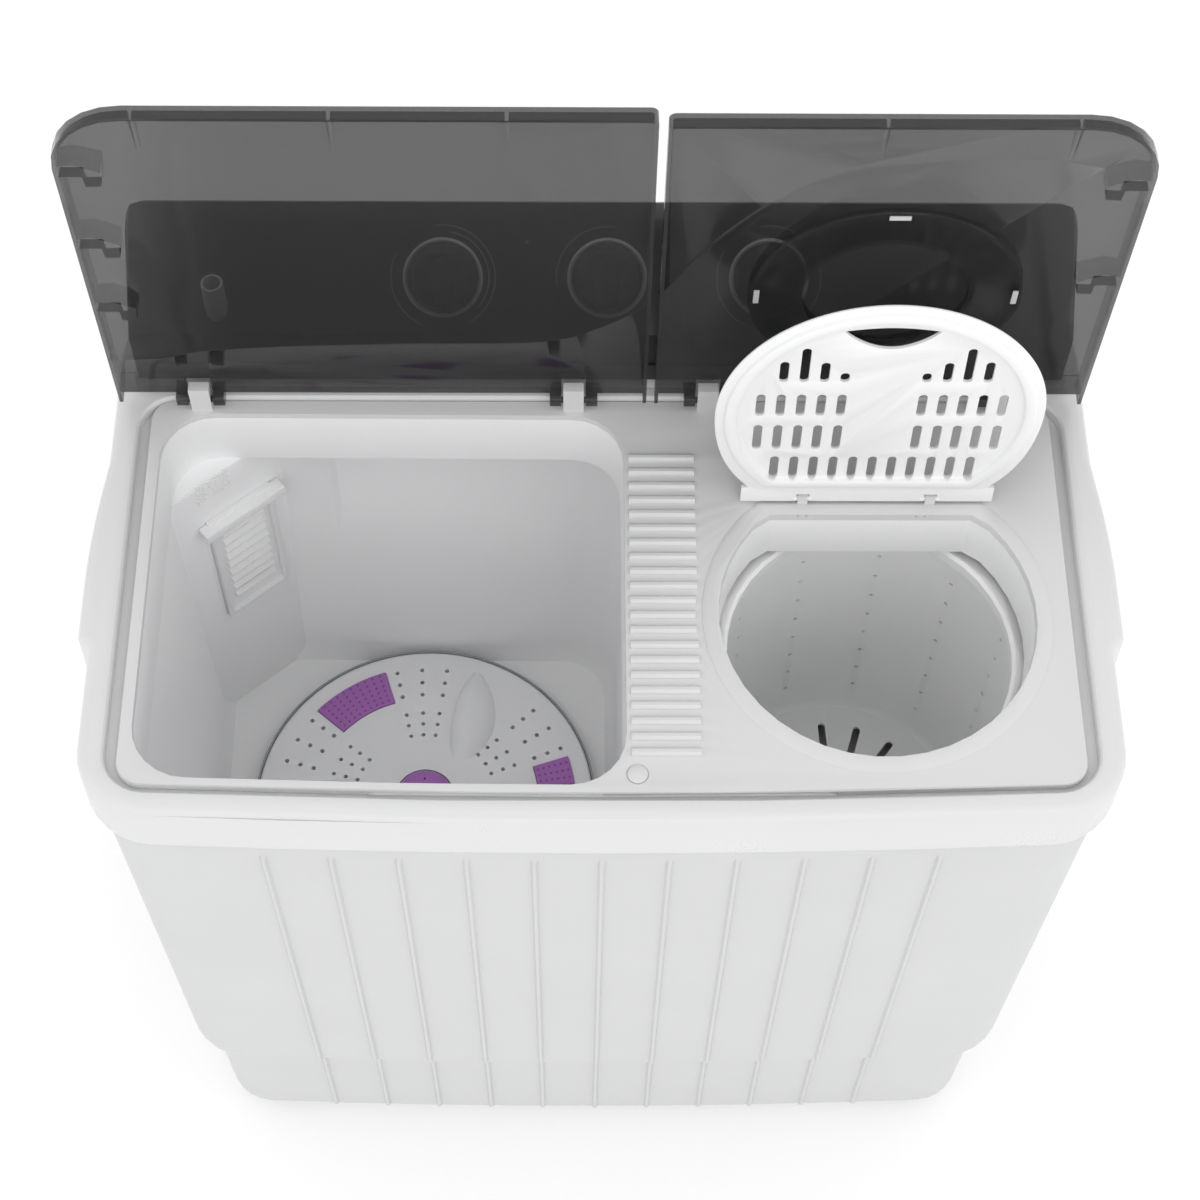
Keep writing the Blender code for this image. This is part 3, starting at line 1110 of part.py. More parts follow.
def handle_outline(z):
    """Lens shaped finger hole near the front of the cover."""
    points = []
    for i in range(9):
        t = i / 8
        points.append(Vector((-HANDLE_HALF + 2 * HANDLE_HALF * t, HANDLE_Y - 0.0030 * math.sin(math.pi * t), z)))
    for i in range(1, 8):
        t = i / 8
        points.append(Vector((HANDLE_HALF - 2 * HANDLE_HALF * t, HANDLE_Y + 0.0150 * math.sin(math.pi * t) ** 0.8, z)))
    return points


HANDLE_HALF = 0.0270
HANDLE_Y = -0.1535
SLOT_PITCH = 0.0116
SLOT_WIDTH = 0.0054


def cover_slots():
    """Drain slots in rows; each row gives where it starts and ends and the columns that it fills."""
    sides = [-6, -5, -4, -3, -2, 2, 3, 4, 5, 6]
    for start, end, columns in ((0.0204, 0.0410, range(-5, 6)), (0.0478, 0.0705, sides), (0.0790, 0.0984, sides)):
        for column in columns:
            yield slot_block(column * SLOT_PITCH, -end, -start)
    for column, end in ((2, 0.1176), (3, 0.1266), (4, 0.1388), (5, 0.1273)):
        for side in (-1, 1):
            yield slot_block(side * column * SLOT_PITCH, -end, -0.1095)


def slot_block(x, y0, y1):
    return block("slot", (x - SLOT_WIDTH / 2, y0, -0.03), (x + SLOT_WIDTH / 2, y1, 0.03))


def main():
    for obj in list(bpy.data.objects):
        bpy.data.objects.remove(obj)
    make_cabinet()
    make_grip_cups()
    make_base()
    make_feet()
    make_rear_cover()
    make_cable_gland()
    make_top_rim()
    make_deck()
    make_deck_plug()
    make_wash_tub()
    make_overflow_cover()
    make_lint_filter()
    make_overflow_pipe()
    make_drain_valve()
    make_drain_pipe()
    make_pulsator()
    make_wash_drive()
    make_spin_side()
    make_brake_lever()
    make_motor_springs()
    make_capacitor()
    make_housing_base()
    make_housing()
    make_knobs()
    make_water_inlet()
    make_lids()
    make_safety_cover()


main()
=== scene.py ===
import json
import math

import bpy
import bmesh
from mathutils import Matrix, Vector


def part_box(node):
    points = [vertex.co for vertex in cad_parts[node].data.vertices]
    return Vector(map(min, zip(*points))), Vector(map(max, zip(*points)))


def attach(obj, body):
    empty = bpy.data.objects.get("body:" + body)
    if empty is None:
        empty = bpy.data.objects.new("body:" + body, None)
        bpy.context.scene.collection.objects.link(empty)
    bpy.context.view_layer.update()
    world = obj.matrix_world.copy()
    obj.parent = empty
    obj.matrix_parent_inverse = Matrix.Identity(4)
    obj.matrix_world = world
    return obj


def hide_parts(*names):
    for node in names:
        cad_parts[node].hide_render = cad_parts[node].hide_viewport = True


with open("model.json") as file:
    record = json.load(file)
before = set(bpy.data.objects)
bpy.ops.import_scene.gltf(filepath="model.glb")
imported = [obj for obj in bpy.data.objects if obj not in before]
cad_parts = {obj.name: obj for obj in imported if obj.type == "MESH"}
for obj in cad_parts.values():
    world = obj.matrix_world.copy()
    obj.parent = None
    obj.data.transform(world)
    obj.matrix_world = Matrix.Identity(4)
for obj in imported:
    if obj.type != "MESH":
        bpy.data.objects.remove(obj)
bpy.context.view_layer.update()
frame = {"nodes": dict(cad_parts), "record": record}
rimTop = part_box("top_rim")[1][2]
print("frame loaded, rim top at", round(rimTop, 4))


class Signal:
    # wraps an output socket so that sums can be written as Python sums
    def __init__(self, sheet, socket):
        self.sheet = sheet
        self.socket = socket

    def combine(self, operation, other, swapped=False):
        first, second = (other, self) if swapped else (self, other)
        return self.sheet.add("ShaderNodeMath", {"operation": operation}, {0: first, 1: second}).out()

    def __add__(self, other):
        return self.combine("ADD", other)

    def __sub__(self, other):
        return self.combine("SUBTRACT", other)

    def __mul__(self, other):
        return self.combine("MULTIPLY", other)

    __radd__ = __add__
    __rmul__ = __mul__

    def __rsub__(self, other):
        return self.combine("SUBTRACT", other, swapped=True)


class NodeStep:
    def __init__(self, sheet, node):
        self.sheet = sheet
        self.node = node

    def out(self, key=0):
        return Signal(self.sheet, self.node.outputs[key])


class NodeSheet:
    # one node tree and the single method that fills it
    def __init__(self, tree):
        self.tree = tree

    def add(self, kind, settings=None, sockets=None):
        node = self.tree.nodes.new(kind)
        for key, value in (settings or {}).items():
            if key == "stops":
                for index, (place, colour) in enumerate(value):
                    stops = node.color_ramp.elements
                    stop = stops[index] if index < 2 else stops.new(place)
                    stop.position = place
                    stop.color = colour
            else:
                setattr(node, key, value)
        for key, value in (sockets or {}).items():
            if isinstance(value, Signal):
                self.tree.links.new(value.socket, node.inputs[key])
            else:
                node.inputs[key].default_value = value
        return NodeStep(self, node)


finishes = {
    "whitePlastic": {"colour": (0.68, 0.68, 0.682), "roughness": 0.34, "grain": 900, "depth": 0.00003,
                     "mottle": 0.02},
    "rimPlastic": {"colour": (0.70, 0.70, 0.702), "roughness": 0.30, "grain": 900, "depth": 0.00002,
                   "mottle": 0.015},
    # the cover white is the same plastic made lighter for the cover, lint filter and balance ring down in the
    # mouths: painted light
    "coverPlasticPaintedLight": {"colour": (0.90, 0.90, 0.903), "roughness": 0.32, "grain": 900, "depth": 0.00002,
                     "mottle": 0.015},
    "cabinetPlastic": {"colour": (0.62, 0.622, 0.625), "roughness": 0.42, "grain": 1400, "depth": 0.00005,
                       "mottle": 0.02},
    # the tub white is the same plastic made much lighter: painted light that makes up for the shade down
    # inside the tubs
    "tubPlasticPaintedLight": {"colour": (0.94, 0.942, 0.946), "roughness": 0.38, "grain": 700, "depth": 0.00003,
                   "mottle": 0.03},
    "pulsatorPlastic": {"colour": (0.92, 0.923, 0.93), "roughness": 0.40, "grain": 900, "depth": 0.00003,
                        "mottle": 0.02},
    "purplePlastic": {"colour": (0.45, 0.17, 0.55), "roughness": 0.42, "grain": 1200, "depth": 0.00004,
                      "mottle": 0.05},
    "purpleDots": {"colour": (0.26, 0.10, 0.34), "roughness": 0.5, "grain": 1200, "depth": 0.00002,
                   "mottle": 0.05},
    "housingPlastic": {"colour": (0.026, 0.026, 0.027), "roughness": 0.36, "grain": 1600, "depth": 0.00004,
                       "mottle": 0.10},
    "knobPlastic": {"colour": (0.075, 0.075, 0.077), "roughness": 0.30, "grain": 1500, "depth": 0.00003,
                    "mottle": 0.08},
    "knobTrim": {"colour": (0.88, 0.88, 0.885), "roughness": 0.25, "grain": 900, "depth": 0.00001,
                 "mottle": 0.04},
    "printedGrey": {"colour": (0.55, 0.55, 0.555), "roughness": 0.5, "grain": 900, "depth": 0.00001,
                    "mottle": 0.05},
    "blackRubber": {"colour": (0.022, 0.022, 0.022), "roughness": 0.8, "grain": 700, "depth": 0.00008,
                    "mottle": 0.15},
    "greyPlastic": {"colour": (0.36, 0.37, 0.38), "roughness": 0.5, "grain": 900, "depth": 0.00004,
                    "mottle": 0.05},
}
metals = {
    "plainSteel": {"colour": (0.55, 0.56, 0.57), "roughness": 0.32, "grain": 260, "stretch": 30},
    "castAluminium": {"colour": (0.62, 0.62, 0.61), "roughness": 0.45, "grain": 500, "stretch": 1},
}


def freshMaterial(name):
    material = bpy.data.materials.new(name)
    material.use_nodes = True
    sheet = NodeSheet(material.node_tree)
    shader = material.node_tree.nodes["Principled BSDF"]
    place = sheet.add("ShaderNodeTexCoord").out("Object")
    return material, sheet, shader, place


def plasticFinish(name, values):
    # moulded plastic: faint mottling, a little wear in the gloss and a fine moulded grain
    material, sheet, shader, place = freshMaterial(name)
    cloud = sheet.add("ShaderNodeTexNoise", {}, {"Vector": place, "Scale": 14.0, "Detail": 4.0}).out("Fac")
    grain = sheet.add("ShaderNodeTexNoise", {}, {"Vector": place, "Scale": float(values["grain"]),
                                                 "Detail": 3.0}).out("Fac")
    shade = 1.0 - (cloud - 0.5) * (values["mottle"] * 2.0)
    tint = sheet.add("ShaderNodeMix", {"data_type": "RGBA", "blend_type": "MULTIPLY"},
                     {0: 1.0, 6: (*values["colour"], 1.0)})
    grey = sheet.add("ShaderNodeCombineColor", {}, {0: shade, 1: shade, 2: shade}).out()
    sheet.tree.links.new(grey.socket, tint.node.inputs[7])
    sheet.tree.links.new(tint.node.outputs[2], shader.inputs["Base Color"])
    gloss = (cloud - 0.5) * 0.12 + (grain - 0.5) * 0.06 + values["roughness"]
    sheet.tree.links.new(gloss.socket, shader.inputs["Roughness"])
    bump = sheet.add("ShaderNodeBump", {}, {"Height": grain, "Strength": 0.35, "Distance": values["depth"]})
    sheet.tree.links.new(bump.node.outputs[0], shader.inputs["Normal"])
    shader.inputs["IOR"].default_value = 1.46
    return material


def metalFinish(name, values):
    material, sheet, shader, place = freshMaterial(name)
    mapped = sheet.add("ShaderNodeMapping", {}, {"Vector": place,
                                                 "Scale": (1.0, 1.0, float(values["stretch"]))}).out()
    brushed = sheet.add("ShaderNodeTexNoise", {}, {"Vector": mapped, "Scale": float(values["grain"]),
                                                   "Detail": 4.0}).out("Fac")
    shader.inputs["Base Color"].default_value = (*values["colour"], 1.0)
    shader.inputs["Metallic"].default_value = 1.0
    gloss = (brushed - 0.5) * 0.25 + values["roughness"]
    sheet.tree.links.new(gloss.socket, shader.inputs["Roughness"])
    bump = sheet.add("ShaderNodeBump", {}, {"Height": brushed, "Strength": 0.3, "Distance": 0.00005})
    sheet.tree.links.new(bump.node.outputs[0], shader.inputs["Normal"])
    return material


smokeValues = {"colour": (0.022, 0.022, 0.023), "alpha": 0.665, "dishAlpha": 0.42, "roughness": 0.10,
               "haze": 0.06}


def smokeFinish(name, alpha):
    # smoked see-through plastic, slightly hazier where it was handled
    material, sheet, shader, place = freshMaterial(name)
    cloud = sheet.add("ShaderNodeTexNoise", {}, {"Vector": place, "Scale": 9.0, "Detail": 5.0}).out("Fac")
    grain = sheet.add("ShaderNodeTexNoise", {}, {"Vector": place, "Scale": 60.0, "Detail": 2.0}).out("Fac")
    shader.inputs["Base Color"].default_value = (*smokeValues["colour"], 1.0)
    gloss = (cloud - 0.5) * smokeValues["haze"] + smokeValues["roughness"]
    sheet.tree.links.new(gloss.socket, shader.inputs["Roughness"])
    clear = (cloud - 0.5) * 0.04 + alpha
    sheet.tree.links.new(clear.socket, shader.inputs["Alpha"])
    bump = sheet.add("ShaderNodeBump", {}, {"Height": grain, "Strength": 0.10, "Distance": 0.0003})
    sheet.tree.links.new(bump.node.outputs[0], shader.inputs["Normal"])
    return material


materials = {name: plasticFinish(name, values) for name, values in finishes.items()}
materials.update({name: metalFinish(name, values) for name, values in metals.items()})
materials["smokePlastic"] = smokeFinish("smokePlastic", smokeValues["alpha"])
materials["dishSmoke"] = smokeFinish("dishSmoke", smokeValues["dishAlpha"])
print("finishes made:", len(materials))


def linked(name, mesh):
    piece = bpy.data.objects.new(name, mesh)
    bpy.context.scene.collection.objects.link(piece)
    return piece


def dressed(piece, finish, angle=35):
    piece.data.materials.clear()
    piece.data.materials.append(materials[finish])
    for face in piece.data.polygons:
        face.material_index = 0
    piece.data.shade_smooth()
    piece.data.set_sharp_from_angle(angle=math.radians(angle))
    return piece


def settled(piece):
    # modifiers and place go into the mesh
    bpy.context.view_layer.update()
    depsgraph = bpy.context.evaluated_depsgraph_get()
    mesh = bpy.data.meshes.new_from_object(piece.evaluated_get(depsgraph), depsgraph=depsgraph)
    mesh.transform(piece.matrix_world)
    piece.modifiers.clear()
    piece.data = mesh
    piece.matrix_world = Matrix.Identity(4)
    return piece


def rounded(piece, width, segments=2, angle=32):
    bevel = piece.modifiers.new("edges", "BEVEL")
    bevel.width = width
    bevel.segments = segments
    bevel.limit_method = "ANGLE"
    bevel.angle_limit = math.radians(angle)
    bevel.harden_normals = False
    return settled(piece)


def combined(piece, other, operation):
    step = piece.modifiers.new("join", "BOOLEAN")
    step.operation = operation
    step.solver = "EXACT"
    step.object = other
    settled(piece)
    bpy.data.objects.remove(other)
    return piece


def given(piece, body, slot, *nodes):
    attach(piece, body)
    if nodes:
        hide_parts(*nodes)
    return piece


def skinned(name, rings, looped=False):
    # a closed shape drawn through rings that all have the same count of points
    shape = bmesh.new()
    loops = [[shape.verts.new(point) for point in ring] for ring in rings]
    for low, high in zip(loops, loops[1:] + ([loops[0]] if looped else [])):
        for i in range(len(low)):
            j = (i + 1) % len(low)
            shape.faces.new((low[i], low[j], high[j], high[i]))
    if not looped:
        shape.faces.new(loops[0])
        shape.faces.new(loops[-1])
    bmesh.ops.recalc_face_normals(shape, faces=shape.faces)
    mesh = bpy.data.meshes.new(name)
    shape.to_mesh(mesh)
    shape.free()
    return linked(name, mesh)


def wheelRing(radius, z, steps, centre):
    x, y = centre
    return [Vector((x + radius * math.cos(2 * math.pi * i / steps),
                    y + radius * math.sin(2 * math.pi * i / steps), z)) for i in range(steps)]


def revolved(name, profile, steps, centre, looped=False):
    rings = [wheelRing(radius, z, steps, centre[:2]) for radius, z in profile]
    piece = skinned(name, rings, looped)
    piece.data.transform(Matrix.Translation((0, 0, centre[2])))
    return piece


def slab(name, low, high):
    corners = ((low[0], low[1]), (high[0], low[1]), (high[0], high[1]), (low[0], high[1]))
    return skinned(name, [[Vector((x, y, z)) for x, y in corners] for z in (low[2], high[2])])


def joined(name, pieces):
    shape = bmesh.new()
    for piece in pieces:
        part = piece.data.copy()
        part.transform(piece.matrix_world)
        shape.from_mesh(part)
        bpy.data.objects.remove(piece)
    mesh = bpy.data.meshes.new(name)
    shape.to_mesh(mesh)
    shape.free()
    return linked(name, mesh)


def copyOfNode(node, name):
    # a CAD node's shape with its flat faces whole again, ready for rounding and cuts
    mesh = frame["nodes"][node].data.copy()
    shape = bmesh.new()
    shape.from_mesh(mesh)
    bmesh.ops.remove_doubles(shape, verts=shape.verts, dist=0.00001)
    bmesh.ops.dissolve_limit(shape, angle_limit=math.radians(0.8), verts=shape.verts, edges=shape.edges)
    shape.to_mesh(mesh)
    shape.free()
    if "custom_normal" in mesh.attributes:
        mesh.attributes.remove(mesh.attributes["custom_normal"])
    return linked(name, mesh)


def patternTree(name, labels, fill):
    # a node group with named inputs that ends in plain geometry with a material on it
    tree = bpy.data.node_groups.new(name, "GeometryNodeTree")
    tree.interface.new_socket(name="Geometry", in_out="OUTPUT", socket_type="NodeSocketGeometry")
    for label, kind in labels:
        tree.interface.new_socket(name=label, in_out="INPUT", socket_type="NodeSocket" + kind)
    tree.interface.new_socket(name="Finish", in_out="INPUT", socket_type="NodeSocketMaterial")
    sheet = NodeSheet(tree)
    entry = sheet.add("NodeGroupInput")
    solid = sheet.add("GeometryNodeRealizeInstances", {}, {0: fill(sheet, entry)}).out()
    painted = sheet.add("GeometryNodeSetMaterial", {}, {"Geometry": solid,
                                                        "Material": entry.out("Finish")}).out()
    sheet.add("NodeGroupOutput", {}, {0: painted})
    return tree


def pinShape(sheet, entry):
    # a peg with round ends, longer along its own first axis
    peg = sheet.add("GeometryNodeMeshCylinder", {}, {"Vertices": 14, "Radius": entry.out("Width") * 0.5,
                                                     "Depth": entry.out("Depth")}).out("Mesh")
    place = sheet.add("GeometryNodeInputPosition").out()
    across = sheet.add("ShaderNodeSeparateXYZ", {}, {0: place}).out(0)
    side = sheet.add("ShaderNodeMath", {"operation": "SIGN"}, {0: across}).out()
    shift = side * ((entry.out("Length") - entry.out("Width")) * 0.5)
    move = sheet.add("ShaderNodeCombineXYZ", {}, {0: shift}).out()
    return sheet.add("GeometryNodeSetPosition", {}, {"Geometry": peg, "Offset": move}).out()


def turnedCopies(sheet, shape, count, angle):
    # copies about the upright axis, one for each step of the angle
    points = sheet.add("GeometryNodeMeshLine", {}, {"Count": count, "Offset": (0.0, 0.0, 0.0)}).out()
    euler = sheet.add("ShaderNodeCombineXYZ", {}, {2: angle}).out()
    turn = sheet.add("FunctionNodeEulerToRotation", {}, {0: euler}).out()
    copies = sheet.add("GeometryNodeInstanceOnPoints", {}, {"Points": points, "Instance": shape,
                                                            "Rotation": turn}).out()
    return sheet.add("GeometryNodeRealizeInstances", {}, {0: copies}).out()


def fanFill(sheet, entry):
    start = sheet.add("ShaderNodeCombineXYZ", {}, {0: entry.out("FirstRadius"),
                                                   2: entry.out("FirstHeight")}).out()
    step = sheet.add("ShaderNodeCombineXYZ", {}, {0: entry.out("RadiusStep"),
                                                  2: entry.out("HeightStep")}).out()
    line = sheet.add("GeometryNodeMeshLine", {}, {"Count": entry.out("Rows"), "Start Location": start,
                                                  "Offset": step}).out()
    euler = sheet.add("ShaderNodeCombineXYZ", {}, {1: entry.out("Tilt")}).out()
    turn = sheet.add("FunctionNodeEulerToRotation", {}, {0: euler}).out()
    row = sheet.add("GeometryNodeInstanceOnPoints", {}, {"Points": line, "Instance": pinShape(sheet, entry),
                                                         "Rotation": turn}).out()
    index = sheet.add("GeometryNodeInputIndex").out()
    columns = entry.out("Columns")
    group = turnedCopies(sheet, row, columns, (index - (columns - 1.0) * 0.5) * entry.out("ColumnStep"))
    angle = index * entry.out("GroupStep") + entry.out("Phase")
    return turnedCopies(sheet, group, entry.out("Groups"), angle)


def gridFill(sheet, entry):
    columns, rows = entry.out("Columns"), entry.out("Rows")
    flat = sheet.add("GeometryNodeMeshGrid", {}, {"Size X": (columns - 1.0) * entry.out("ColumnStep"),
                                                  "Size Y": (rows - 1.0) * entry.out("RowStep"),
                                                  "Vertices X": columns, "Vertices Y": rows}).out()
    peg = pinShape(sheet, entry)
    return sheet.add("GeometryNodeInstanceOnPoints", {}, {"Points": flat, "Instance": peg}).out()


pinLabels = [("Width", "Float"), ("Length", "Float"), ("Depth", "Float")]
fanLabels = [("Rows", "Int"), ("FirstRadius", "Float"), ("RadiusStep", "Float"), ("FirstHeight", "Float"),
             ("HeightStep", "Float"), ("Tilt", "Float"), ("Columns", "Int"), ("ColumnStep", "Float"),
             ("Groups", "Int"), ("GroupStep", "Float"), ("Phase", "Float")]
gridLabels = [("Columns", "Int"), ("Rows", "Int"), ("ColumnStep", "Float"), ("RowStep", "Float")]
fanTree = patternTree("fanPattern", pinLabels + fanLabels, fanFill)
gridTree = patternTree("gridPattern", pinLabels + gridLabels, gridFill)
angleLabels = ("Tilt", "ColumnStep", "GroupStep", "Phase")


def patterned(name, tree, values, finish, place):
    # runs a pattern once and keeps plain geometry; angles of the fan are given in degrees
    piece = linked(name, bpy.data.meshes.new(name))
    step = piece.modifiers.new("pattern", "NODES")
    step.node_group = tree
    for item in tree.interface.items_tree:
        if item.in_out == "INPUT" and item.name == "Finish":
            step[item.identifier] = materials[finish]
        elif item.in_out == "INPUT" and item.name in values:
            value = values[item.name]
            if tree == fanTree and item.name in angleLabels:
                value = math.radians(value)
            step[item.identifier] = value
    piece.matrix_world = place
    return settled(piece)


def fan(name, finish, place, **values):
    full = {"Rows": 1, "RadiusStep": 0.0, "FirstHeight": 0.0, "HeightStep": 0.0, "Tilt": 0.0, "Columns": 1,
            "ColumnStep": 0.0, "Groups": 1, "GroupStep": 0.0, "Phase": 0.0, **values}
    return patterned(name, fanTree, full, finish, place)


def grid(name, finish, place, **values):
    full = {"Columns": 1, "Rows": 1, "ColumnStep": 0.0, "RowStep": 0.0, **values}
    return patterned(name, gridTree, full, finish, place)


def bodyOf(node):
    for body, nodes in frame["record"]["behaviour"]["bodies"].items():
        if node in nodes:
            return body


slotOf = {entry["node"]: entry["material_slot"] for entry in frame["record"]["subparts"]}


def refined(node, finish, width):
    # a CAD node's own shape with rounded edges and a real finish
    name = node.title().replace("_", "")
    piece = copyOfNode(node, name[0].lower() + name[1:] + "Skin")
    if width:
        rounded(piece, width)
    dressed(piece, finish, 40)
    return given(piece, bodyOf(node), slotOf[node], node)


def keptNode(node, finish):
    # a CAD node that stays, with a real finish
    slots = frame["nodes"][node].data.materials
    for index in range(len(slots)):
        slots[index] = materials[finish]


refinedNodes = (("cabinet_shell", "cabinetPlastic", 0.0), ("base_frame", "cabinetPlastic", 0.0),
                ("left_grip_cup", "whitePlastic", 0.0008), ("right_grip_cup", "whitePlastic", 0.0008),
                ("rear_cover", "whitePlastic", 0.0004), ("top_rim", "rimPlastic", 0.0008),
                ("deck_screw_plug", "whitePlastic", 0.0003), ("housing_base", "whitePlastic", 0.0006),
                ("water_inlet", "whitePlastic", 0.0), ("balance_ring", "coverPlasticPaintedLight", 0.0))
keptNodes = {
    "blackRubber": ("foot_front_left", "foot_front_right", "foot_rear_left", "foot_rear_right", "cable_gland",
                    "drain_valve_plunger", "drive_belt", "spin_seal"),
    "greyPlastic": ("overflow_pipe", "drain_valve_body", "drain_pipe", "gearbox_pulley", "capacitor",
                    "wash_timer", "drain_selector", "spin_timer"),
    "plainSteel": ("pulsator_shaft", "wash_motor", "spin_shaft", "brake_lever", "spin_motor", "motor_spring_1",
                   "motor_spring_2", "motor_spring_3"),
    "castAluminium": ("gearbox", "motor_pulley", "brake_drum"),
    "whitePlastic": ("spin_outer_tub", "dish_clip_1", "dish_clip_2", "dish_clip_3", "dish_clip_4"),
}
for node, finish, width in refinedNodes:
    refined(node, finish, width)
for finish, nodes in keptNodes.items():
    for node in nodes:
        keptNode(node, finish)
print("plain pieces dressed")


def placed(x, y, z, turn=0.0, axis="X"):
    return Matrix.Translation((x, y, z)) @ Matrix.Rotation(math.radians(turn), 4, axis)


deckValues = {"slitXs": (0.1210, 0.1925), "slitY": 0.0235, "notch": (0.1625, -0.1395), "markDrop": 0.0030,
              "skirtDrop": 0.0030, "washMouth": (-0.2750, 0.0160, -0.1600, 0.1000),
              "spinCentre": (0.1625, -0.0458), "spinMouth": 0.0960}


def makeDeck():
    # the skirts below both mouths take the lighter tub white, painted light that makes up for the shade down
    # inside the mouths
    values = deckValues
    piece = copyOfNode("top_deck", "topDeckSkin")
    low = rimTop - values["markDrop"]
    marks = [grid("coverSlits", "whitePlastic", placed(x, values["slitY"], low, 90, "Z"), Rows=2,
                  RowStep=0.0050, Width=0.0012, Length=0.0050, Depth=0.0016) for x in values["slitXs"]]
    marks.append(grid("frontNotch", "whitePlastic", placed(*values["notch"], low), Width=0.0040,
                      Length=0.0160, Depth=0.0030))
    combined(piece, joined("deckMarks", marks), "DIFFERENCE")
    rounded(piece, 0.0007, 3)
    dressed(piece, "whitePlastic", 40)
    piece.data.materials.append(materials["tubPlasticPaintedLight"])
    left, right, front, back = values["washMouth"]
    spinX, spinY = values["spinCentre"]
    for face in piece.data.polygons:
        x, y, z = face.center
        inWash = left < x < right and front < y < back
        inSpin = math.hypot(x - spinX, y - spinY) < values["spinMouth"]
        # faces low inside the mouths get painted light: the lighter tub white
        if (inWash or inSpin) and z < low - values["skirtDrop"]:
            face.material_index = 1
    given(piece, "machine", "white_plastic", "top_deck")


tubValues = {"panelStart": (-0.2655, 0.0630), "panelAngle": 40.0, "panelEnds": (-0.0080, 0.0760),
             "panelLow": 0.2650, "panelHeight": 0.2790, "panelThickness": 0.0026,
             "windowEnds": (0.0147, 0.0653), "windowHeights": (0.3827, 0.5023), "filterMiddle": 0.040,
             "louvres": 9, "louvreLow": 0.4035, "louvreStep": 0.0095, "louvreTurn": 28, "tabHeight": 0.4955,
             "roofEnds": (-0.0080, 0.0740), "roofBack": 0.1100, "roofLeft": -0.2700,
             "centre": (-0.1215, -0.0180)}


def panelPlace(along, out, z):
    # local x runs along the filter panel, y up and z out of it
    angle = math.radians(tubValues["panelAngle"])
    ahead = Vector((math.cos(angle), math.sin(angle), 0))
    away = Vector((math.sin(angle), -math.cos(angle), 0))
    up = Vector((0, 0, 1))
    spot = Vector((*tubValues["panelStart"], 0)) + ahead * along + away * out + up * z
    turn = Matrix((ahead, up, away)).transposed().to_4x4()
    return Matrix.Translation(spot) @ turn


def panelSpot(along, out, z):
    return panelPlace(along, out, z).to_translation()


def makeTub():
    values = tubValues
    piece = copyOfNode("wash_tub", "washTubSkin")
    given(dressed(piece, "tubPlasticPaintedLight", 45), "machine", "tub_plastic", "wash_tub")
    (left, right), back = values["panelEnds"], -values["panelThickness"]
    lower = [panelSpot(along, out, values["panelLow"])
             for along, out in ((left, 0.0), (right, 0.0), (right, back), (left, back))]
    upper = [spot + Vector((0, 0, values["panelHeight"])) for spot in lower]
    panel = skinned("overflowCoverSkin", [lower, upper])
    left, right = values["windowEnds"]
    window = [[panelSpot(along, out, z)
               for along, out in ((left, 0.01), (right, 0.01), (right, -0.01), (left, -0.01))]
              for z in values["windowHeights"]]
    combined(panel, skinned("windowCutter", window), "DIFFERENCE")
    given(dressed(panel, "tubPlasticPaintedLight", 45), "machine", "white_plastic", "overflow_cover")
    makeFilter()
    makePanelRoof()
    ring = revolved("pulsatorShadowRing", ((0.1189, 0.2655), (0.1204, 0.2655), (0.1204, 0.2762),
                                           (0.1200, 0.2768), (0.1193, 0.2768), (0.1189, 0.2762)), 144,
                    (*values["centre"], 0.0), True)
    given(dressed(ring, "greyPlastic", 45), "machine", "white_plastic")


def makeFilter():
    values = tubValues
    frameSkin = copyOfNode("lint_filter", "lintFilterSkin")
    rounded(frameSkin, 0.0007, 3)
    dressed(frameSkin, "coverPlasticPaintedLight", 45)
    given(frameSkin, "lint_filter", "white_plastic", "lint_filter")
    middle, turn = values["filterMiddle"], Matrix.Rotation(math.radians(values["louvreTurn"]), 4, "X")
    bars = []
    for i in range(values["louvres"]):
        place = panelPlace(middle, 0.0018, values["louvreLow"] + values["louvreStep"] * i)
        bars.append(grid("filterLouvres", "whitePlastic", place @ turn, Width=0.0011, Length=0.0330,
                         Depth=0.0040))
    bars.append(grid("filterTabs", "whitePlastic", panelPlace(middle, 0.0055, values["tabHeight"]), Columns=3,
                     ColumnStep=0.0170, Width=0.0022, Length=0.0060, Depth=0.0030))
    louvres = joined("filterLouvreBars", bars)
    given(dressed(louvres, "coverPlasticPaintedLight", 45), "lint_filter", "white_plastic")


def makePanelRoof():
    # the cap of the space behind the panel, and the dotted patch at the panel's top
    values = tubValues
    low, high = (panelSpot(along, -0.0010, 0.0) for along in values["roofEnds"])
    back, left = values["roofBack"], values["roofLeft"]
    roof = ((low.x, low.y, 0.5410), (high.x, high.y, 0.5410), (high.x, back, 0.5452), (left, back, 0.5460),
            (left, low.y, 0.5440))
    cap = skinned("overflowRoof", [[Vector((x, y, z - drop)) for x, y, z in roof] for drop in (0.0020, 0.0)])
    given(dressed(cap, "tubPlasticPaintedLight"), "machine", "white_plastic")
    dots = grid("overflowDots", "greyPlastic", panelPlace(0.0250, 0.0018, 0.5380), Columns=9, Rows=8,
                ColumnStep=0.0030, RowStep=0.0030, Width=0.0011, Length=0.0011, Depth=0.0008)
    given(dressed(dots, "tubPlasticPaintedLight", 45), "machine", "white_plastic")


pulsatorValues = {"centre": (-0.1215, -0.0180), "top": 0.2770, "radius": 0.1185, "capRadius": 0.0200,
                  "bladeStart": 52.0, "bladeBend": 18.0, "bladeHeight": 0.0150, "bladeEdge": 0.0015,
                  "bladeReach": (0.0330, 0.0740), "bladeHalf": (0.0030, 0.0135), "bladeLean": 0.30,
                  "padRadii": (0.0800, 0.1060), "padMiddle": 123, "padHalf": 15.5}


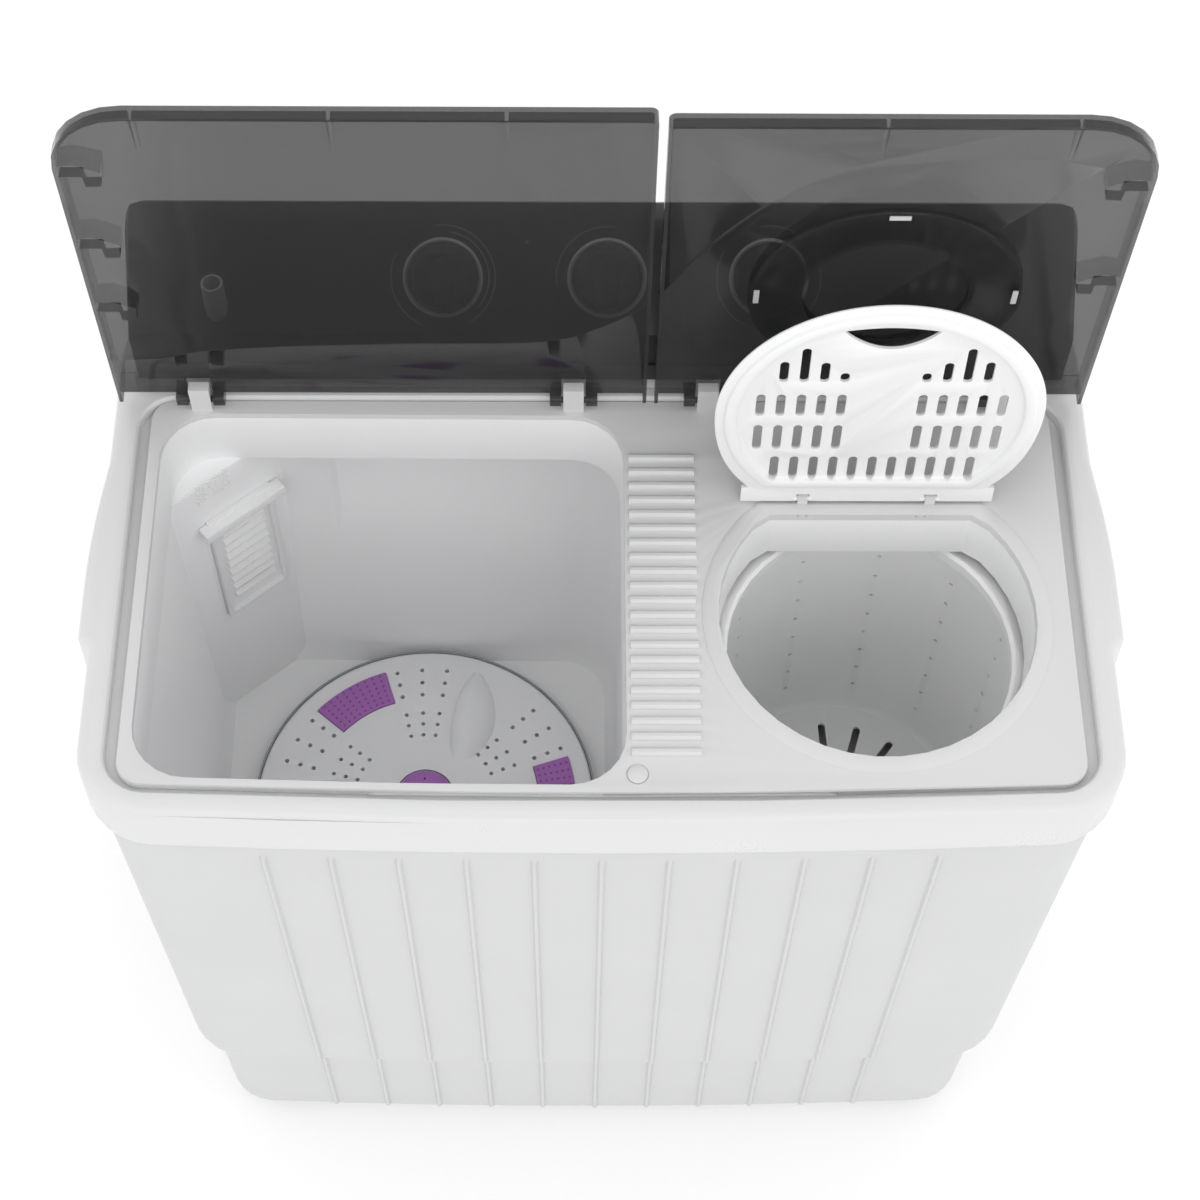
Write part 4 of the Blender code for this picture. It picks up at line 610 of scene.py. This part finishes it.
def bladeShape(k):
    # one curved fin, highest in its middle and leaning to one side
    values = pulsatorValues
    root = Vector((*values["centre"], values["top"] - 0.0020))
    first, length = values["bladeReach"]
    thin, swelling = values["bladeHalf"]
    edge = values["bladeEdge"]
    rings = []
    for i in range(19):
        t = i / 18
        angle = math.radians(values["bladeStart"] + 120 * k + values["bladeBend"] * t)
        reach = first + length * t
        swell = math.sin(math.pi * min(max(t, 0.02), 0.98)) ** 0.75
        half, height = thin + swelling * swell, edge + (values["bladeHeight"] - edge) * swell
        ahead = Vector((math.cos(angle), math.sin(angle), 0))
        across = Vector((-ahead.y, ahead.x, 0))
        ring = []
        for j in range(13):
            turn = math.pi * j / 12
            lean = values["bladeLean"] * math.sin(turn)
            ring.append(root + ahead * reach + across * half * (math.cos(turn) + lean)
                        + Vector((0, 0, height * math.sin(turn))))
        rings.append(ring)
    return skinned("blade", rings)


def makePulsator():
    values = pulsatorValues
    x, y = values["centre"]
    top, radius, cap = values["top"], values["radius"], values["capRadius"]
    profile = ((0.012, top - 0.008), (radius - 0.006, top - 0.006), (radius, top - 0.004),
               (radius, top - 0.0016), (radius - 0.0007, top - 0.0005), (radius - 0.0022, top),
               (0.080, top + 0.0008), (0.050, top + 0.0020),
               (0.034, top + 0.0034), (cap + 0.0030, top + 0.0055), (cap + 0.0008, top + 0.0060),
               (cap + 0.0008, top + 0.0015))
    disc = revolved("pulsatorSkin", profile, 144, (x, y, 0))
    for k in range(3):
        combined(disc, bladeShape(k), "UNION")
    holes = [fan(name, "tubPlasticPaintedLight", placed(x, y, top), Width=size, Length=size, Depth=0.0250, Rows=3,
                 FirstRadius=first, RadiusStep=step, Columns=3, ColumnStep=10.0, Groups=6, GroupStep=60.0,
                 Phase=33.0) for name, size, first, step in (("outerHoles", 0.0032, 0.0835, 0.0101),
                                                             ("innerHoles", 0.0030, 0.0504, 0.0089))]
    pockets = [padShape("pocket", k, top - 0.0030, top + 0.0100, 0.0004) for k in range(3)]
    combined(disc, joined("pocketCutters", pockets), "DIFFERENCE")
    combined(disc, joined("holeCutters", holes), "DIFFERENCE")
    given(dressed(disc, "pulsatorPlastic", 40), "pulsator", "tub_plastic", "pulsator")
    dome = revolved("pulsatorCapSkin", ((cap, top + 0.0018), (cap, top + 0.0060), (cap * 0.96, top + 0.0076),
                                        (cap * 0.85, top + 0.0098), (cap * 0.65, top + 0.0119),
                                        (cap * 0.40, top + 0.0129), (0.0015, top + 0.0131)), 72, (x, y, 0))
    combined(dome, fan("capHoles", "purplePlastic", placed(x, y, top + 0.012), Width=0.0016, Length=0.0016,
                       Depth=0.006, FirstRadius=0.0105, Groups=4, GroupStep=90.0), "DIFFERENCE")
    given(dressed(dome, "purplePlastic", 40), "pulsator", "purple_plastic", "pulsator_cap")
    for k in range(3):
        pad = padShape(f"pulsatorPad{k + 1}Skin", k, top - 0.0027, top + 0.0022, 0.0)
        rounded(pad, 0.0007, 3)
        given(dressed(pad, "purplePlastic", 40), "pulsator", "purple_plastic", f"pulsator_pad_{k + 1}")
    dots = fan("padDots", "purpleDots", placed(x, y, top + 0.0022), Width=0.0017, Length=0.0017, Depth=0.0007,
               Rows=6, FirstRadius=0.0826, RadiusStep=0.0042, Columns=9, ColumnStep=3.2, Groups=3,
               GroupStep=120.0, Phase=float(values["padMiddle"]))
    given(dressed(dots, "purpleDots", 40), "pulsator", "purple_plastic")


def padShape(name, k, low, high, grow):
    # a piece of a ring between two radii, made larger all round by grow
    values = pulsatorValues
    x, y = values["centre"]
    middle, half = math.radians(values["padMiddle"] + 120 * k), math.radians(values["padHalf"])
    near, far = values["padRadii"]
    outline = []
    for radius, side in ((near - grow, 1), (far + grow, -1)):
        reach = half + grow / radius
        outline += [(x + radius * math.cos(middle + side * reach * (i / 8 - 1)),
                     y + radius * math.sin(middle + side * reach * (i / 8 - 1))) for i in range(17)]
    return skinned(name, [[Vector((*spot, z)) for spot in outline] for z in (low, high)])


basketValues = {"centre": (0.1625, -0.0458), "radius": 0.0975, "floor": 0.3050, "top": 0.5367,
                "floorSlots": 18, "floorPhase": 13.3, "wallRows": 8, "wallHoles": 12, "wallPhase": 20.0}


def makeBasket():
    values = basketValues
    x, y = values["centre"]
    r, low, high = values["radius"], values["floor"], values["top"]
    profile = ((0.0070, low - 0.0025), (r - 0.010, low - 0.0025), (r - 0.0055, low - 0.0005),
               (r - 0.004, low + 0.004), (r, high), (r - 0.002, high), (r - 0.006, low + 0.006),
               (r - 0.0078, low + 0.0018), (r - 0.0095, low - 0.0004), (r - 0.011, low - 0.0004),
               (r - 0.0118, low), (0.0240, low + 0.0002), (0.0190, low + 0.0040), (0.0070, low + 0.0050))
    piece = revolved("spinBasketSkin", profile, 144, (x, y, 0), True)
    place, slots, holes = placed(x, y, low), values["floorSlots"], values["wallHoles"]
    cuts = [fan("floorSlots", "tubPlasticPaintedLight", place, Width=0.0052, Length=0.0290, Depth=0.020,
                FirstRadius=0.0600, Groups=slots, GroupStep=360.0 / slots, Phase=values["floorPhase"]),
            fan("wallHoles", "tubPlasticPaintedLight", place, Width=0.0028, Length=0.0028, Depth=0.020,
                Rows=values["wallRows"], FirstRadius=r - 0.004, FirstHeight=0.0300, HeightStep=0.0240,
                Tilt=90.0, Groups=holes, GroupStep=360.0 / holes, Phase=values["wallPhase"])]
    combined(piece, joined("basketCutters", cuts), "DIFFERENCE")
    given(dressed(piece, "tubPlasticPaintedLight", 40), "spin_basket", "tub_plastic", "spin_basket")


housingValues = {"knobXs": (-0.0950, 0.0030, 0.0995), "face": (0.13815, 0.6750), "slope": 45, "ribs": 17,
                 "ribStart": -0.264, "ribStep": 0.0330, "ribWidth": 0.0012, "printWidth": 0.0007,
                 "dotX": -0.0450, "dotShift": (0.0, 0.0150, 0.0150)}


def arcStrip(x, radius, width, start, end):
    # a thin printed arc on the sloping face, angles in degrees from the right
    steps, lift = 24, 0.0002
    place = placed(x, *housingValues["face"], housingValues["slope"])
    angles = [math.radians(start + (end - start) * i / steps) for i in range(steps + 1)]
    spots = [(radius - width / 2, a) for a in angles] + [(radius + width / 2, a) for a in reversed(angles)]
    return skinned("arc", [[place @ Vector((r * math.cos(a), r * math.sin(a), z)) for r, a in spots]
                           for z in (-lift, lift)])


def makeHousing():
    values = housingValues
    housing = copyOfNode("control_housing", "controlHousingSkin")
    rounded(housing, 0.0016, 4)
    given(dressed(housing, "housingPlastic", 35), "machine", "black_plastic", "control_housing")
    bars = []
    for i in range(values["ribs"]):
        shift = values["ribStep"] * i
        bars.append(slab("bar", (values["ribStart"] + shift, 0.1130, 0.6060),
                         (values["ribStart"] + values["ribWidth"] + shift, 0.1142, 0.6490)))
    bars.append(slab("bar", (-0.2800, 0.1128, 0.6200), (0.2800, 0.1142, 0.6212)))
    given(dressed(joined("housingRibBars", bars), "housingPlastic"), "machine", "black_plastic")
    timerArcs = ((-60, 100, 0.0312), (150, 245, 0.0312))
    knobArcs = ((*timerArcs, (-40, 80, 0.0275)), ((80, 190, 0.0305),), timerArcs)
    prints = [arcStrip(x, radius, values["printWidth"], start, end)
              for x, spans in zip(values["knobXs"], knobArcs) for start, end, radius in spans]
    prints.append(arcStrip(values["dotX"], 0.0008, 0.0012, 0, 359))
    prints[-1].data.transform(Matrix.Translation(values["dotShift"]))
    given(dressed(joined("housingPrint", prints), "printedGrey"), "machine", "black_plastic")


def makeKnob(node, x):
    # the CAD knob with a grip ridge, and the bright collar it turns in
    name = node.split("_")[0] + "Knob"
    knob = copyOfNode(node, name + "Skin")
    place = placed(x, *housingValues["face"], housingValues["slope"])
    grip = []
    levels = ((0.0150, 0.0062, 0.0150), (0.0172, 0.0050, 0.0140), (0.0176, 0.0040, 0.0130))
    for height, half, length in levels:
        spots = ((-half, -length), (half, -length), (half * 1.3, 0), (half, length * 0.75), (0, length),
                 (-half, length * 0.75), (-half * 1.3, 0))
        grip.append([place @ Vector((a, b, height)) for a, b in spots])
    combined(knob, skinned("gripRidge", grip), "UNION")
    rounded(knob, 0.0005, 2)
    given(dressed(knob, "knobPlastic", 25), node, "black_plastic", node)
    collar = revolved(name + "Collar", ((0.0212, 0.0003), (0.0240, 0.0003), (0.0238, 0.0022),
                                        (0.0226, 0.0030), (0.0213, 0.0022)), 72, (0, 0, 0), True)
    collar.data.transform(place)
    given(dressed(collar, "knobTrim", 40), "machine", "black_plastic")


coverValues = {"hinge": (0.1598, 0.0332, 0.5965), "lean": 4.5, "radius": 0.0953, "centre": 0.0790,
               "flat": 0.0055, "flare": 0.16, "thickness": 0.0025, "under": 0.0010, "lipRadius": 0.0900,
               "lipFlat": 0.0655, "slotPitch": 0.0116, "slotWidth": 0.0054, "handleHalf": 0.0270,
               "handleReach": 0.1535, "handleBow": 0.0030, "handleDepth": 0.0150, "barHalf": 0.0760,
               "lugXs": (-0.0385, 0.0385), "lugRoom": 0.0040, "pinRadius": 0.0020, "pinHalf": 0.0060}


def coverOutline(grow, w):
    # a round cover with a straight hinge side that is a little wider there
    values = coverValues
    radius, count = values["radius"] + grow, 144
    points = []
    for i in range(count):
        a = 2 * math.pi * (i + 0.5) / count
        x, y = radius * math.cos(a), radius * math.sin(a)
        if y > 0:
            x = math.copysign(min(abs(x) * (1.0 + values["flare"] * (y / radius) ** 2), radius), x)
        y = min(y, values["centre"] - values["flat"] + grow)
        points.append(Vector((x, y - values["centre"], w)))
    return points


def lipOutline(inset, w):
    values = coverValues
    radius, count = values["lipRadius"] - inset, 144
    flat = values["lipFlat"] - (values["lipRadius"] - radius)
    points = []
    for i in range(count):
        a = 2 * math.pi * (i + 0.5) / count
        points.append(Vector((radius * math.cos(a), min(radius * math.sin(a), flat) - values["centre"], w)))
    return points


def handleOutline(z):
    # two bows that meet at the handle's ends
    values = coverValues
    half, y, steps = values["handleHalf"], -values["handleReach"], 24
    bow = [math.sin(math.pi * i / steps) for i in range(steps + 1)]
    points = [Vector((-half + 2 * half * i / steps, y - values["handleBow"] * bow[i], z))
              for i in range(steps + 1)]
    points += [Vector((half - 2 * half * i / steps, y + values["handleDepth"] * bow[i] ** 0.8, z))
               for i in range(1, steps)]
    return points


def coverSlotCutters():
    pitch, width = coverValues["slotPitch"], coverValues["slotWidth"]
    slots = [(0.0, 0.0204, 0.0410, 11)]
    for side in (-1, 1):
        slots += [(side * 4 * pitch, 0.0478, 0.0705, 5), (side * 4 * pitch, 0.0790, 0.0984, 5)]
        slots += [(side * column * pitch, 0.1095, end, 1)
                  for column, end in ((2, 0.1176), (3, 0.1266), (4, 0.1388), (5, 0.1273))]
    cuts = []
    for x, first, last, count in slots:
        cuts.append(grid("coverSlots", "whitePlastic", placed(x, -(first + last) / 2, 0, 90, "Z"), Rows=count,
                         RowStep=pitch, Width=width, Length=last - first, Depth=0.0300))
    return joined("coverSlotCutters", cuts)


def makeCover():
    values = coverValues
    low, high = -values["under"], values["thickness"] - values["under"]
    lip = ((0.0085, low + 0.0004), (0.0075, low), (0.0066, low - 0.0026), (0.0058, low - 0.0030),
           (0.0013, low - 0.0030), (0.0003, low - 0.0024), (0.0, low - 0.0002))
    edge = ((-0.0016, low), (-0.0003, low + 0.0005), (0.0, low + 0.0012), (-0.0004, high - 0.0004),
            (-0.0014, high))
    piece = skinned("safetyCoverSkin", [lipOutline(inset, w) for inset, w in lip]
                    + [coverOutline(grow, w) for grow, w in edge])
    combined(piece, coverSlotCutters(), "DIFFERENCE")
    combined(piece, skinned("handleHole", [handleOutline(z) for z in (-0.02, 0.02)]), "DIFFERENCE")
    barSection = ((-0.0105, low), (0.0018, low - 0.0005), (0.0018, high), (-0.0105, high))
    bar = skinned("hingeBar", [[Vector((x, y, z)) for y, z in barSection]
                               for x in (-values["barHalf"], values["barHalf"])])
    combined(piece, bar, "UNION")
    room = values["lugRoom"]
    rooms = [slab("lugRoom", (x - room, -0.0045, -0.02), (x + room, 0.02, 0.02)) for x in values["lugXs"]]
    combined(piece, joined("lugRooms", rooms), "DIFFERENCE")
    rounded(piece, 0.0004, 2, 40)
    piece.data.transform(placed(*values["hinge"], -(90 + values["lean"])))
    given(dressed(piece, "coverPlasticPaintedLight", 40), "safety_cover", "white_plastic", "safety_cover")
    pins, profile = [], [(values["pinRadius"], z) for z in (-values["pinHalf"], values["pinHalf"])]
    for x in values["lugXs"]:
        pin = revolved("coverPin", profile, 20, (0, 0, 0))
        pin.data.transform(placed(values["hinge"][0] + x, *values["hinge"][1:], 90, "Y"))
        pins.append(pin)
    given(dressed(joined("coverPins", pins), "coverPlasticPaintedLight"), "safety_cover", "white_plastic")


lidValues = {"hinge": (0.0, 0.10175, 0.6000), "washLean": 1.0, "spinLean": 1.8, "reach": 0.2685,
             "inner": 0.0025, "outer": 0.0050, "flange": -0.0047, "gussetXs": (-0.2940, -0.2700),
             "gussetDrop": 0.0090, "ribLength": 0.0380, "ribHalf": 0.0011,
             "washGussets": (0.2280, 0.1650, 0.1050), "washRibs": (-0.2480, -0.1450, -0.0520),
             "spinGussets": (0.2230, 0.1360), "spinRibs": (0.1470, 0.2480),
             "washCrease": ((-0.2953, 0.0388), (-0.2649, 0.0410), (-0.2400, 0.0482), (-0.1915, 0.0535),
                            (-0.1196, 0.0569), (-0.0360, 0.0593), (-0.0004, 0.0744), (0.0270, 0.0970)),
             "spinCrease": ((0.0330, 0.1080), (0.0553, 0.1483), (0.0813, 0.1837), (0.1069, 0.2093),
                            (0.1327, 0.2235), (0.1537, 0.2285), (0.1908, 0.2328), (0.2337, 0.2330),
                            (0.2671, 0.2267))}


def smoothPath(points, share=6):
    # a curve that runs through all the given points
    path = []
    ends = [points[0], *points, points[-1]]
    for a, b, c, d in zip(ends, ends[1:], ends[2:], ends[3:]):
        for i in range(share):
            t = i / share
            path.append(tuple(0.5 * (2 * q + (r - p) * t + (2 * p - 5 * q + 4 * r - s) * t ** 2
                                     + (3 * q - p - 3 * r + s) * t ** 3) for p, q, r, s in zip(a, b, c, d)))
    return path + [points[-1]]


def creaseRidge(points, low, high):
    # a slim ridge that shows on both faces of the lid's plate
    path = [Vector(point) for point in smoothPath(points)]
    rings = []
    for i, spot in enumerate(path):
        ahead = (path[min(i + 1, len(path) - 1)] - path[max(i - 1, 0)]).normalized()
        side = Vector((-ahead.y, ahead.x))
        ring = []
        for shift, w in ((-0.0013, low + 0.0006), (-0.0004, low), (0.0004, low), (0.0013, low + 0.0006),
                         (0.0013, high - 0.0006), (0.0004, high), (-0.0004, high), (-0.0013, high - 0.0006)):
            across = spot + side * shift
            ring.append(Vector((across.x, -across.y, w)))
        rings.append(ring)
    return skinned("creaseRidge", rings)


def gussetShape(outer, inner, reach, drop):
    # a sloping web from the lid's side edge with a short foot at its inner end
    low, high = lidValues["flange"] + 0.0004, lidValues["inner"] + 0.0006
    step = (inner - outer) / 4
    spots = [(outer, reach), (outer + step * 1.5, reach + 0.0020),
             (outer + step * 2.6, reach + 0.0010 - drop * 0.2), (inner, reach - drop * 0.5),
             (inner - step * 0.2, reach - drop - 0.0070),
             (inner - step * 1.6, reach - drop - 0.0075), (inner - step * 1.7, reach - drop * 0.9),
             (outer, reach - drop * 0.9)]
    return skinned("gusset", [[Vector((x, -r, w)) for x, r in spots] for w in (low, high)])


def makeLid(kind, side):
    # side is 1 for the left lid and -1 for the right one
    values = lidValues
    node, gussets, ribXs = kind + "_lid", values[kind + "Gussets"], values[kind + "Ribs"]
    place = placed(*values["hinge"], -(90 - values[kind + "Lean"]))
    piece = copyOfNode(node, kind + "LidSkin")
    piece.data.transform(place.inverted())
    ridge = creaseRidge(values[kind + "Crease"], values["inner"] - 0.0006, values["outer"] + 0.0006)
    combined(piece, ridge, "UNION")
    outer, inner = values["gussetXs"]
    for reach in gussets:
        combined(piece, gussetShape(side * outer, side * inner, reach, values["gussetDrop"]), "UNION")
    front, top = -values["reach"] + 0.0010, values["inner"] + 0.0004
    section = ((front, values["flange"] + 0.0008), (-values["reach"] + values["ribLength"], top),
               (front, top))
    half = values["ribHalf"]
    for x in ribXs:
        rib = skinned("rib", [[Vector((x + shift, y, w)) for y, w in section] for shift in (-half, half)])
        combined(piece, rib, "UNION")
    xs = [vertex.co.x for vertex in piece.data.vertices]
    strip = slab("stripRidge", (min(xs) + 0.0030, -0.0205, values["outer"] - 0.0006),
                 (max(xs) - 0.0030, -0.0195, values["outer"] + 0.0005))
    combined(piece, strip, "UNION")
    piece.data.transform(place)
    rounded(piece, 0.0005, 2, 40)
    given(dressed(piece, "smokePlastic", 35), node, "smoke_plastic", node)


dishValues = {"well": 0.0520, "rim": 0.0790, "centre": (0.1625, -0.1120), "depth": 0.0034}


def makeDish():
    well, rim, depth = dishValues["well"], dishValues["rim"], dishValues["depth"]
    hinge, lean, inner = lidValues["hinge"], lidValues["spinLean"], lidValues["inner"]
    profile = ((well - 0.0040, 0.0016), (well - 0.0030, 0.0014), (well - 0.0002, 0.0014),
               (well + 0.0022, 0.0018), (well + 0.0040, 0.0021), (rim - 0.0055, 0.0021),
               (rim - 0.0035, 0.0015), (rim - 0.0020, 0.0002),
               (rim - 0.0006, 0.0), (rim, 0.0006), (rim, depth), (well - 0.0040, depth))
    piece = revolved("spinLidDishSkin", [(r, z - depth) for r, z in profile], 144, (0, 0, 0), True)
    piece.data.transform(placed(*hinge, -(90 - lean))
                         @ Matrix.Translation((*dishValues["centre"], inner - 0.0003)))
    given(dressed(piece, "dishSmoke", 50), "spin_lid", "smoke_plastic", "spin_lid_dish")


screwValues = {"xs": (-0.2150, 0.2150), "heights": (0.2050, 0.3550, 0.5050), "back": 0.17815,
               "radius": 0.0038}


def makeRearScrews():
    radius, heads = screwValues["radius"], []
    profile = ((radius, -0.0004), (radius, 0.0010), (0.0026, 0.0018), (0.0006, 0.0020))
    for x in screwValues["xs"]:
        for z in screwValues["heights"]:
            head = revolved("screwHead", profile, 28, (0, 0, 0))
            slot = slab("screwSlot", (-0.0024, -0.0004, 0.0010), (0.0024, 0.0004, 0.0030))
            combined(head, slot, "DIFFERENCE")
            head.data.transform(placed(x, screwValues["back"], z, -90))
            heads.append(head)
    given(dressed(joined("rearScrews", heads), "plainSteel"), "machine", "white_plastic")


makeDeck()
makeTub()
print("deck and tub done")
makePulsator()
makeBasket()
print("pulsator and basket done")
makeHousing()
for knobNode, knobX in zip(("wash_timer_knob", "drain_selector_knob", "spin_timer_knob"),
                           housingValues["knobXs"]):
    makeKnob(knobNode, knobX)
print("controls done")
makeCover()
makeLid("wash", 1)
makeLid("spin", -1)
makeDish()
makeRearScrews()
print("lids and cover done")


studioValues = {"floorHalf": 6, "floorColour": (0.70, 0.70, 0.70), "paperGlow": 0.30, "worldStrength": 1.06,
                "keyPower": 9.0, "keySize": 1.2, "keyPlace": (0.6, -2.2, 2.3), "keyAim": (0, 0, 0.5)}


def makeStudio():
    values = studioValues
    half, white = values["floorHalf"], (1.0, 1.0, 1.0, 1.0)
    floor = linked("studioFloorSheet", bpy.data.meshes.new("studioFloorSheet"))
    floor.data.from_pydata([(-half, -half, 0), (half, -half, 0), (half, half, 0), (-half, half, 0)], [],
                           [(0, 1, 2, 3)])
    material = bpy.data.materials.new("studioPaper")
    material.use_nodes = True
    shader = material.node_tree.nodes["Principled BSDF"]
    shader.inputs["Base Color"].default_value = (*values["floorColour"], 1.0)
    shader.inputs["Roughness"].default_value = 0.9
    shader.inputs["Emission Color"].default_value = white
    shader.inputs["Emission Strength"].default_value = values["paperGlow"]
    floor.data.materials.append(material)
    world = bpy.data.worlds.new("studioWorld")
    bpy.context.scene.world = world
    world.use_nodes = True
    sky = world.node_tree.nodes["Background"]
    sky.inputs["Color"].default_value = white
    sky.inputs["Strength"].default_value = values["worldStrength"]
    lamp = bpy.data.lights.new("keyLight", "AREA")
    lamp.size = values["keySize"]
    lamp.energy = values["keyPower"]
    holder = linked("keyLight", lamp)
    holder.location = values["keyPlace"]
    aim = Vector(values["keyAim"]) - Vector(values["keyPlace"])
    holder.rotation_euler = aim.to_track_quat("-Z", "Y").to_euler()


cameraValues = {"lens": 72.96, "sensor": 36.0, "pitch": 60.13, "yaw": 1.24, "roll": 1.16,
                "place": (-0.01668, -0.75163, 1.83834)}


def makeCamera():
    camera = bpy.data.cameras.new("viewCamera")
    camera.lens = cameraValues["lens"]
    camera.sensor_width = cameraValues["sensor"]
    holder = linked("viewCamera", camera)
    turn = (Matrix.Rotation(-math.radians(cameraValues["yaw"]), 4, "Z")
            @ Matrix.Rotation(math.radians(90 - cameraValues["pitch"]), 4, "X")
            @ Matrix.Rotation(math.radians(cameraValues["roll"]), 4, "Z"))
    holder.matrix_world = Matrix.Translation(cameraValues["place"]) @ turn
    bpy.context.scene.camera = holder


makeStudio()
makeCamera()
bpy.context.scene.view_settings.view_transform = "Standard"
print("pieces done")
